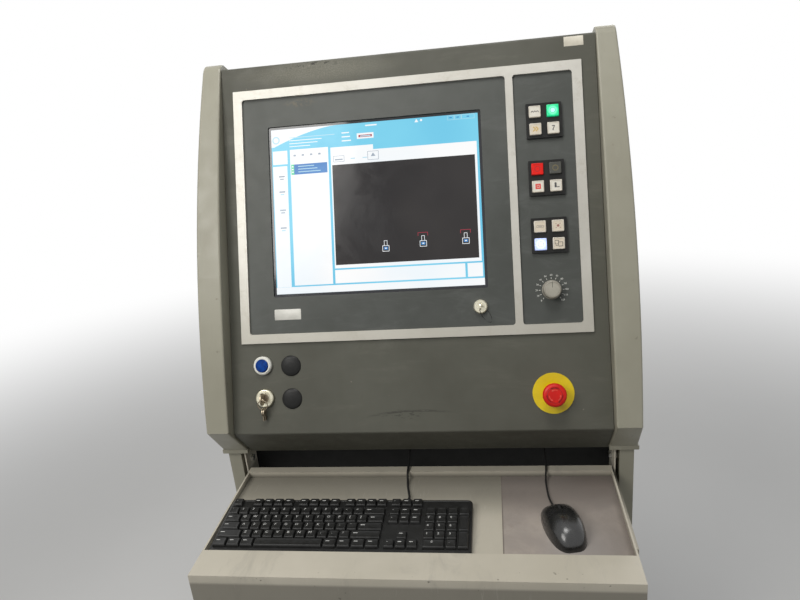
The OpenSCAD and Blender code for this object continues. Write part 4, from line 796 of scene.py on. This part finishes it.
def cord_relief(shape, profile, x, y, z):
    """Tapered relief of a cord, from its place on towards the rear."""
    shape.rings([[(a, y + along, b) for a, b in circle(r, 20, x, z)] for r, along in profile])


def key_base(y):
    return 7.5 + y * SLOPE


def key(shape, x, y, wide, deep=1.0):
    def tilted(sizes):
        return [[(px, py, key_base(y) + h + (py - y) * KEY_TILT)
                 for px, py in rounded(wide * PITCH - less, deep * PITCH - less, r, 3, (x, y))]
                for less, h, r in sizes]

    shape.rings(tilted(KEY_SIDES), 0, (False, False))
    shape.rings(tilted(KEY_DISH), 0, (False, True))


def key_row(shape, widths, x, y, letters):
    """Keys of one row. Those without a letter of their own have a short dash."""
    for i, wide in enumerate(widths):
        if wide > 0:
            middle = x + wide * PITCH / 2
            top = key_base(y) + LEGEND_LIFT
            key(shape, middle, y, wide)
            if i < len(letters) and letters[i] != " ":
                shape.text(letters[i], 7.0, (middle - 2.6, y + 2.4), top, 1)
            elif wide < 6 and (letters or wide > 1):
                shape.area(x + 5, y + 1.4, x + 10 + wide, y + 2.7, top, 1)
        x += abs(wide) * PITCH


def keyboard():
    shape = Shape()

    def ring(inset, radius):
        middle = (CASE_WIDTH / 2, CASE_DEPTH / 2)
        return rounded(CASE_WIDTH - 2 * inset, CASE_DEPTH - 2 * inset, radius, 5, middle)

    def level(outline, lift):
        return [(x, y, 8 + y * SLOPE + lift) for x, y in outline]

    foot = [raised(ring(2.5, 7), 0), raised(ring(0.6, 9), 1.2), level(ring(0, 9), -4.5)]
    shape.rings(foot + [level(ring(inset, radius), lift) for inset, radius, lift in CASE_EDGE])
    side = (CASE_WIDTH - 22 * PITCH - 2 * BLOCK_GAP) / 2
    margin = (CASE_DEPTH - 6 * PITCH - ROW_GAP) / 5
    middle_x = side + 15 * PITCH + BLOCK_GAP
    number_x = middle_x + 3 * PITCH + BLOCK_GAP
    top_row = CASE_DEPTH - margin - PITCH / 2
    key_row(shape, FUNCTION_ROW, side, top_row, "-")
    key_row(shape, [1] * 3, middle_x, top_row, "-")
    for i in range(5):
        y = top_row - ROW_GAP - (i + 1) * PITCH
        key_row(shape, LETTER_ROWS[i], side, y, LEGENDS[i])
        key_row(shape, MIDDLE_ROWS[i], middle_x, y, "-")
        key_row(shape, NUMBER_ROWS[i], number_x, y, NUMBER_LEGENDS[i])
    for i in (2, 4):
        key(shape, number_x + 3.5 * PITCH, top_row - ROW_GAP - (i + 0.5) * PITCH, 1, 2)
    cord_relief(shape, KEYBOARD_RELIEF, KEYBOARD_CORD_X - KEYS_LEFT, CASE_DEPTH, 8)
    body = plastic("keyboard_plastic", (0.014, 0.014, 0.0135), (0.009, 0.009, 0.0085), 0.36, 55,
                   0.00006, 800, specular=0.4)
    place = Matrix.Translation(spot(KEYS_LEFT, KEYS_FRONT, FLOOR_TOP))
    shape.piece("keyboard_dressed", "console", "black_plastic",
                [body, ink("key_print", (0.72, 0.72, 0.7))], place, ["keyboard"], 32)


keyboard()


# Mouse: smooth form through the solid's sections, cut into body and two buttons
# how far along, how wide and how high each section is, as shares of the half length, half width and height
SECTIONS = [(-1, 0.28, 0.2), (-0.94, 0.5, 0.42), (-0.8, 0.7, 0.66), (-0.6, 0.84, 0.86), (-0.3, 0.95, 0.98),
            (0, 1, 1), (0.3, 1, 0.94), (0.6, 0.96, 0.8), (0.84, 0.87, 0.62), (0.96, 0.74, 0.45),
            (1, 0.58, 0.3)]
MOUSE_SPOT = spot(MOUSE_X, MOUSE_Y, MAT_TOP)
MOUSE_PLACE = Matrix.Translation(MOUSE_SPOT) @ Matrix.Rotation(MOUSE_TURN, 4, "Z")
MOUSE_HALF_WIDTH = 30.5
MOUSE_HEIGHT = 34
BUTTON_WALL = 2
SQUARENESS = 0.8
SIDE_TO_SIDE = (-60, 60)
WHEEL_SLOT = (15, 39)
WHEEL_PROFILE = [(1.5, -3), (9.4, -3), (10.2, -2.5), (10.7, -1.6), (10.9, 0), (10.7, 1.6), (10.2, 2.5),
                 (9.4, 3), (1.5, 3)]
EAR_OUTLINE = ((24, 9.5), (30, 9.5), (30, 21.5), (24, 21.5))


def mouse_form(wall):
    shape = Shape()
    rings = []
    for along, wide, high in smooth(SECTIONS, 4):
        ring = []
        for i in range(37):
            a = radians(-90 + 5 * i)
            side = (1 if a > 0 else -1) * abs(sin(a)) ** SQUARENESS
            rise = max(cos(a), 0) ** SQUARENESS
            ring.append(((MOUSE_HALF_WIDTH * wide - wall) * side, along * (MOUSE_HALF_LENGTH - wall),
                         (MOUSE_HEIGHT * high - wall) * rise))
        rings.append(ring)
    shape.rings(rings)
    return shape


def block(x, y, z):
    shape = Shape()
    shape.rings([[(x[0], y[0], h), (x[1], y[0], h), (x[1], y[1], h), (x[0], y[1], h)] for h in z])
    return shape


def mouse_piece(shape, name, body="console", **more):
    return shape.piece(name, body, "gloss_black_plastic", place=MOUSE_PLACE, **more)


def cut(piece, shape, operation="DIFFERENCE"):
    tool = mouse_piece(shape, "tool")
    step = piece.modifiers.new("cut", "BOOLEAN")
    step.operation = operation
    step.object = tool
    step.solver = "EXACT"
    bpy.context.view_layer.update()
    made = bpy.data.meshes.new_from_object(piece.evaluated_get(bpy.context.evaluated_depsgraph_get()))
    piece.modifiers.remove(step)
    piece.data = made
    bpy.data.objects.remove(tool)


def shade(piece):
    piece.data.polygons.foreach_set("use_smooth", [True] * len(piece.data.polygons))
    piece.data.set_sharp_from_angle(angle=radians(40))


def mouse():
    body = mouse_piece(mouse_form(0), "mouse_case", replaces=["mouse_body"])
    cut(body, block(SIDE_TO_SIDE, (5.5, 90), (10, 80)))
    cut(body, block((-3.3, 3.3), WHEEL_SLOT, (6.5, 40)))
    shade(body)
    for side, x in (("left", (-60, -0.4)), ("right", (0.4, 60))):
        node = f"mouse_{side}_button"
        button = mouse_piece(mouse_form(0), f"{side}_button_shell", node, replaces=[node])
        cut(button, mouse_form(BUTTON_WALL))
        cut(button, block(x, (6, 90), (11, 80)), "INTERSECT")
        cut(button, block((-4, 4), WHEEL_SLOT, (0, 40)))
        shade(button)
    wheel = Shape()
    rings = []
    for r, x in WHEEL_PROFILE:
        grooved = [r - (0.45 if j % 4 < 2 and r > 10 else 0) for j in range(72)]
        rings.append([(x, *polar(grip, 2 * pi * j / 72)) for j, grip in enumerate(grooved)])
    wheel.rings(rings)
    wheel.rings([[(x, y, z) for y, z in circle(1.5, 16)] for x in (-4.9, 4.9)])
    wheel.piece("scroll_wheel", "mouse_wheel", "black_rubber",
                place=MOUSE_PLACE @ Matrix.Translation((0, 27 * MM, 18.5 * MM)), replaces=["mouse_wheel"])
    relief = Shape()
    cord_relief(relief, MOUSE_RELIEF, 0, MOUSE_HALF_LENGTH, 6)
    relief.piece("mouse_relief", "console", "black_rubber", place=MOUSE_PLACE)
    # ears that carry the wheel
    ears = Shape()
    for side in (-1, 1):
        ears.rings([[(side * x, y, z) for y, z in EAR_OUTLINE] for x in (3.3, 4.9)])
    mouse_piece(ears, "wheel_ears")


mouse()


# Mouse mat: cloth over foam, with a slight wave along its edges
MAT_LEFT = 143.0
MAT_RIGHT = 337.7
MAT_FRONT = -318.998
MAT_REAR = -104.998
MAT_THICKNESS = 2.0
MAT_CELLS = 28


def mouse_mat():
    width = MAT_RIGHT - MAT_LEFT
    depth = MAT_REAR - MAT_FRONT
    top = []
    for j in range(MAT_CELLS + 1):
        for i in range(MAT_CELLS + 1):
            u = i / MAT_CELLS
            w = j / MAT_CELLS
            edge = min(u, 1 - u, w, 1 - w)
            lift = max(0.0, 0.06 - edge) * 6.0 * (0.5 + 0.5 * sin(9 * u + 5 * w)) * (1 - u)
            sink = 0.35 if edge == 0 else 0.0
            top.append((MAT_LEFT + width * u, MAT_FRONT + depth * w, MAT_THICKNESS + lift - sink))
    shape = Shape()
    shape.points = top + [(x, y, 0.0 if z < 2.1 else z - 2.1) for x, y, z in top]
    step = MAT_CELLS + 1
    total = step * step
    for j in range(MAT_CELLS):
        for i in range(MAT_CELLS):
            a = j * step + i
            shape.faces.append((a, a + 1, a + 1 + step, a + step))
            b = a + total
            shape.faces.append((b, b + step, b + 1 + step, b + 1))
    rim = [*range(step)] + [j * step + MAT_CELLS for j in range(1, step)]
    rim += [MAT_CELLS * step + i for i in reversed(range(MAT_CELLS))]
    rim += [j * step for j in range(MAT_CELLS - 1, 0, -1)]
    for a, b in zip(rim, rim[1:] + rim[:1]):
        shape.faces.append((a, b, b + total, a + total))
    shape.looks = [0] * len(shape.faces)
    made = shape.piece("mat_cloth_sheet", "console", "mat_cloth",
                       place=Matrix.Translation(spot(0, 0, FLOOR_TOP)), replaces=["mouse_mat"], crease=50)


mouse_mat()


# Picture on the display: plain fields in the program's layout, no words
SCREEN_LIFT = -2.96
WHITE, BLUE, DARK, NAVY, GREY, RED, GREEN, PALE = range(8)
SCREEN_COLOURS = (
    ("ui_white", (1.0, 1.0, 1.0), (0.9, 0.96, 1.0), 0.95, 9),
    ("ui_blue", (0.22, 0.7, 0.92), (0.16, 0.6, 0.85), 0.92, 5),
    ("ui_dark", (0.036, 0.032, 0.029), (0.018, 0.016, 0.015), 0.9, 6),
    ("ui_navy", (0.04, 0.2, 0.55), (0.06, 0.3, 0.68), 0.9, 9),
    ("ui_grey", (0.5, 0.58, 0.68), (0.38, 0.45, 0.55), 0.8, 40),
    ("ui_red", (0.5, 0.05, 0.08), (0.4, 0.03, 0.06), 0.9, 9),
    ("ui_green", (0.12, 0.75, 0.4), (0.08, 0.6, 0.3), 0.9, 9),
    ("ui_pale_blue", (0.55, 0.82, 0.94), (0.42, 0.74, 0.9), 0.9, 5),
)
# left, bottom, right, top, lift and colour: background, header, left columns, drawing area, lower boxes
SCREEN_AREAS = (
    (-244.85, -150.55, 131.45, 150.55, 0, BLUE), (-213, 121, 126, 150.5, 0.01, BLUE),
    (-85, 122, -54.5, 132, 0.03, WHITE), (-82, 124.6, -57.5, 128.8, 0.035, RED),
    (-79, 125.6, -60, 127.6, 0.04, PALE), (-69, 143.8, -48, 146.2, 0.03, WHITE),
    (-243, 86.5, -215.5, 111.2, 0.02, WHITE), (-243.4, -138, -216.5, 83, 0.02, WHITE),
    (-210.5, -135.8, -139, 112, 0.02, WHITE), (-209, 66, -141.5, 84.8, 0.03, NAVY),
    (-209, 66, -203.5, 84.8, 0.04, GREEN), (-134.6, -108.5, 127.6, 101.4, 0.02, WHITE),
    (-134.6, 101.4, -56.2, 110.2, 0.02, WHITE), (-127, 86.4, -112.6, 88.6, 0.03, GREY),
    (-98, 87, -90, 88.6, 0.03, PALE), (-76, 87, -68, 88.6, 0.03, PALE),
    (-132.4, -102.6, 123.6, 78.2, 0.03, DARK), (-134.6, -135.4, 98.6, -111.4, 0.02, WHITE),
    (102.6, -135.4, 128.8, -111.4, 0.02, WHITE), (-244.85, -150.5, 131.45, -138.2, 0.02, WHITE),
)


def screen_header(s, h):
    steps = (0.1, 0.25, 0.4, 0.55, 0.7, 0.82, 0.92, 1.0)
    swoosh = [(-244.8, 150.5), (-122, 150.5)]
    swoosh += [(-122 - 118 * t, 150.5 - 32 * t ** 1.6) for t in steps] + [(-244.8, 118.3)]
    s.field(swoosh[::-1], h + 0.02, WHITE)
    s.lathe([(7.2, h + 0.03), (7.0, h + 0.031)], PALE, (-236, 131), 24, (False, True))
    s.lathe([(4.6, h + 0.04), (4.5, h + 0.041)], WHITE, (-236, 131), 24, (False, True))
    for i, right in enumerate((-126, -150, -158, -172)):
        s.area(-211, 133.4 - i * 5.4, right, 134.6 - i * 5.4, h + 0.03, WHITE if i else PALE)
    for i in range(3):
        s.area(-113, 134 - i * 7.2, -99 + i * 1.5, 136 - i * 7.2, h + 0.03, WHITE)
    s.field([(20, 143), (27, 143), (23.5, 149)], h + 0.03, WHITE)
    s.lathe([(2.0, h + 0.03), (1.9, h + 0.031)], WHITE, (32, 146), 16, (False, True))
    for left, right in ((78.5, 90), (91, 102.5), (103.5, 125.5)):
        outline_box(s, left, 142, right, 149.4, 0.7, h + 0.03, PALE)
        s.area((left + right) / 2 - 2.2, 145, (left + right) / 2 + 2.2, 146.6, h + 0.03, NAVY)


def screen_columns(s, h):
    for i, y in enumerate((63, 35, 1.5, -31)):
        s.area(-233, y, -222, y + 2.4, h + 0.03, GREY)
        s.area(-231, y - 4.5, -224, y - 2.5, h + 0.03, PALE if i % 2 else GREY)
        s.area(-204 + i * 15.5, 99.4, -199.5 + i * 15.5, 102.6, h + 0.03, GREY)
    for i in range(3):
        s.area(-196, 80 - i * 5, -166 + i * 6, 81.4 - i * 5, h + 0.04, PALE)
        s.area(-207.8, 79.6 - i * 5, -204.8, 82 - i * 5, h + 0.045, WHITE)


def screen_drawing(s, h):
    outline_box(s, -129.5, 83.5, -110, 94, 0.8, h + 0.03, GREY)
    outline_box(s, -66.5, 83, -47, 98, 0.8, h + 0.03, GREY)
    s.field([(-61, 89), (-52.4, 89), (-56.8, 95.6)], h + 0.03, GREY)
    for x, y in ((-40.8, -71), (26.4, -66), (101.3, -65.5)):
        outline_box(s, x - 5.4, y - 11.5, x + 6.2, y - 1.5, 0.9, h + 0.04, WHITE)
        s.area(x - 3.2, y - 8.6, x + 4, y - 3.8, h + 0.045, NAVY)
        s.area(x - 1.2, y - 7.2, x + 2, y - 5.2, h + 0.05, WHITE)
        outline_box(s, x - 2.2, y - 1.5, x + 3, y + 7.4, 0.8, h + 0.04, WHITE)
        if x > -30:
            bar(s, x - 8.4, y + 13, x + 8.8, y + 13, 0.9, h + 0.04, RED)
            for end in (x - 8.4, x + 8.8):
                bar(s, end, y + 13.4, end, y + 7.2, 0.9, h + 0.045, RED)


def screen_picture():
    s = Shape()
    for left, bottom, right, top, lift, look in SCREEN_AREAS:
        s.area(left, bottom, right, top, SCREEN_LIFT + lift, look)
    for draw in (screen_header, screen_columns, screen_drawing):
        draw(s, SCREEN_LIFT)
    s.piece("screen_picture", "console", "display_glass", [glowing(*row) for row in SCREEN_COLOURS],
            solid=False)


screen_picture()


# Bare plates where labels sit, and the wire ring on the panel's key
def plate(name, left, bottom, right, top, height, colour):
    shape = Shape()
    width = right - left
    depth = top - bottom
    middle = ((left + right) / 2, (bottom + top) / 2)
    side = rounded(width, depth, 0.8, 3, middle)
    face = rounded(width - 0.3, depth - 0.3, 0.7, 3, middle)
    shape.rings([raised(side, 0.0), raised(side, height * 0.7), raised(face, height)], 0, (False, True))
    shape.piece(name, "console", "pale_cap", [colour])


plate("bare_plate", -249.5, -197.2, -200.2, -178.0, 0.35,
      plastic("plate_film", (0.66, 0.65, 0.6), (0.58, 0.57, 0.52), 0.36, 50))
plate("small_label", 283, 250.2, 315.5, 266.6, 0.25,
      plastic("label_film", (0.66, 0.62, 0.52), (0.56, 0.52, 0.43), 0.42, 60))


def wire_ring():
    """A long loop through the bow of the key, leaning to the lower right."""
    shape = Shape()
    count = 40
    turns = 12
    wire = 0.45
    lean = radians(32)
    for i in range(count):
        a = 2 * pi * i / count
        x = 6.5 * sin(a)
        y = 16.0 * (1 - cos(a))
        px = x * cos(lean) + y * sin(lean)
        py = x * sin(lean) - y * cos(lean)
        pz = 13.0 - 0.16 * y - 2.2 * sin(a / 2) ** 2
        for out, up in circle(wire, turns):
            shape.points.append((px + out * sin(a), py - out * cos(a), pz + up))
    for i in range(count):
        here = i * turns
        after = (i + 1) % count * turns
        for j in range(turns):
            shape.faces.append((here + j, here + (j + 1) % turns, after + (j + 1) % turns, after + j))
    shape.looks = [0] * len(shape.faces)
    shape.piece("key_wire_ring", "panel_lock_key", "black_paint", place=face_place(122, -188), crease=80)


wire_ring()


# Rounded edges on sheet metal and mouldings, as modifiers over the frame's own mesh
def soften(names, width):
    for name in names:
        node = NODES[name]
        custom = node.data.attributes.get("custom_normal")
        if custom is not None:
            node.data.attributes.remove(custom)
        weld = node.modifiers.new("weld", "WELD")
        weld.merge_threshold = 0.000002
        bevel = node.modifiers.new("bevel", "BEVEL")
        bevel.width = width * MM
        bevel.segments = 2
        bevel.limit_method = "ANGLE"
        bevel.angle_limit = radians(32)
        bevel.harden_normals = True
        bevel.use_clamp_overlap = True


soften(["bezel_frame"], 0.7)
soften(["left_post", "right_post", "left_tray_bracket", "right_tray_bracket", "tray"], 0.8)
soften(["left_foot_bar", "right_foot_bar", "cross_beam", "rear_cover"], 1.0)
soften(["upper_button_block", "middle_button_block", "lower_button_block"], 0.5)


# Floor, light and background, in metres
FLOOR_RADIUS = 9
FLOOR_DROP = -0.0005


def make_stage():
    s = Shader("studio_floor")
    p = s.where()
    flat = s.add("VectorMath", {0: p, 1: (1, 1, 0)}, operation="MULTIPLY")
    far = s.steps(s.add("VectorMath", {0: flat}, 1, operation="LENGTH"), 1.6, 5.0)
    tone = s.mix(s.noise(p, 3, 4, 0.6), (0.74, 0.735, 0.725), (0.71, 0.705, 0.695))
    matt = s.add("BsdfDiffuse", {"Color": tone})
    white = s.add("Emission", {"Color": (1, 1, 1), "Strength": 1.0})
    s.swapped(matt, white, far)
    mesh = bpy.data.meshes.new("studio_floor")
    mesh.from_pydata(raised(circle(FLOOR_RADIUS, 64), FLOOR_DROP), [], [tuple(range(64))])
    mesh.materials.append(s.material)
    add_object("studio_floor", mesh)


def area_light(name, place, aim, size, power, colour=(1, 1, 1)):
    data = bpy.data.lights.new(name, "AREA")
    data.shape = "DISK"
    data.size = size
    data.energy = power
    data.color = colour
    lamp = add_object(name, data)
    lamp.location = place
    lamp.rotation_mode = "QUATERNION"
    lamp.rotation_quaternion = (Vector(aim) - Vector(place)).to_track_quat("-Z", "Y")


def make_world():
    world = bpy.data.worlds.new("studio")
    s = Shader("studio", world)
    soft = s.add("Background", {0: (0.95, 0.98, 1.0), 1: 0.2})
    s.swapped(soft, s.add("Background", {0: (1, 1, 1), 1: 1.0}))
    bpy.context.scene.world = world


make_stage()
make_world()
area_light("key_light", (-1.2, -1.7, 2.75), (0, 0, 1.25), 1.3, 33, (1.0, 0.98, 0.94))
area_light("top_light", (0.0, -0.5, 3.4), (0, -0.15, 1.0), 1.0, 27, (1.0, 0.99, 0.97))
area_light("back_light", (0.4, 2.6, 2.8), (0, 0, 1.0), 2.2, 30)
bpy.context.scene.view_settings.view_transform = "Standard"
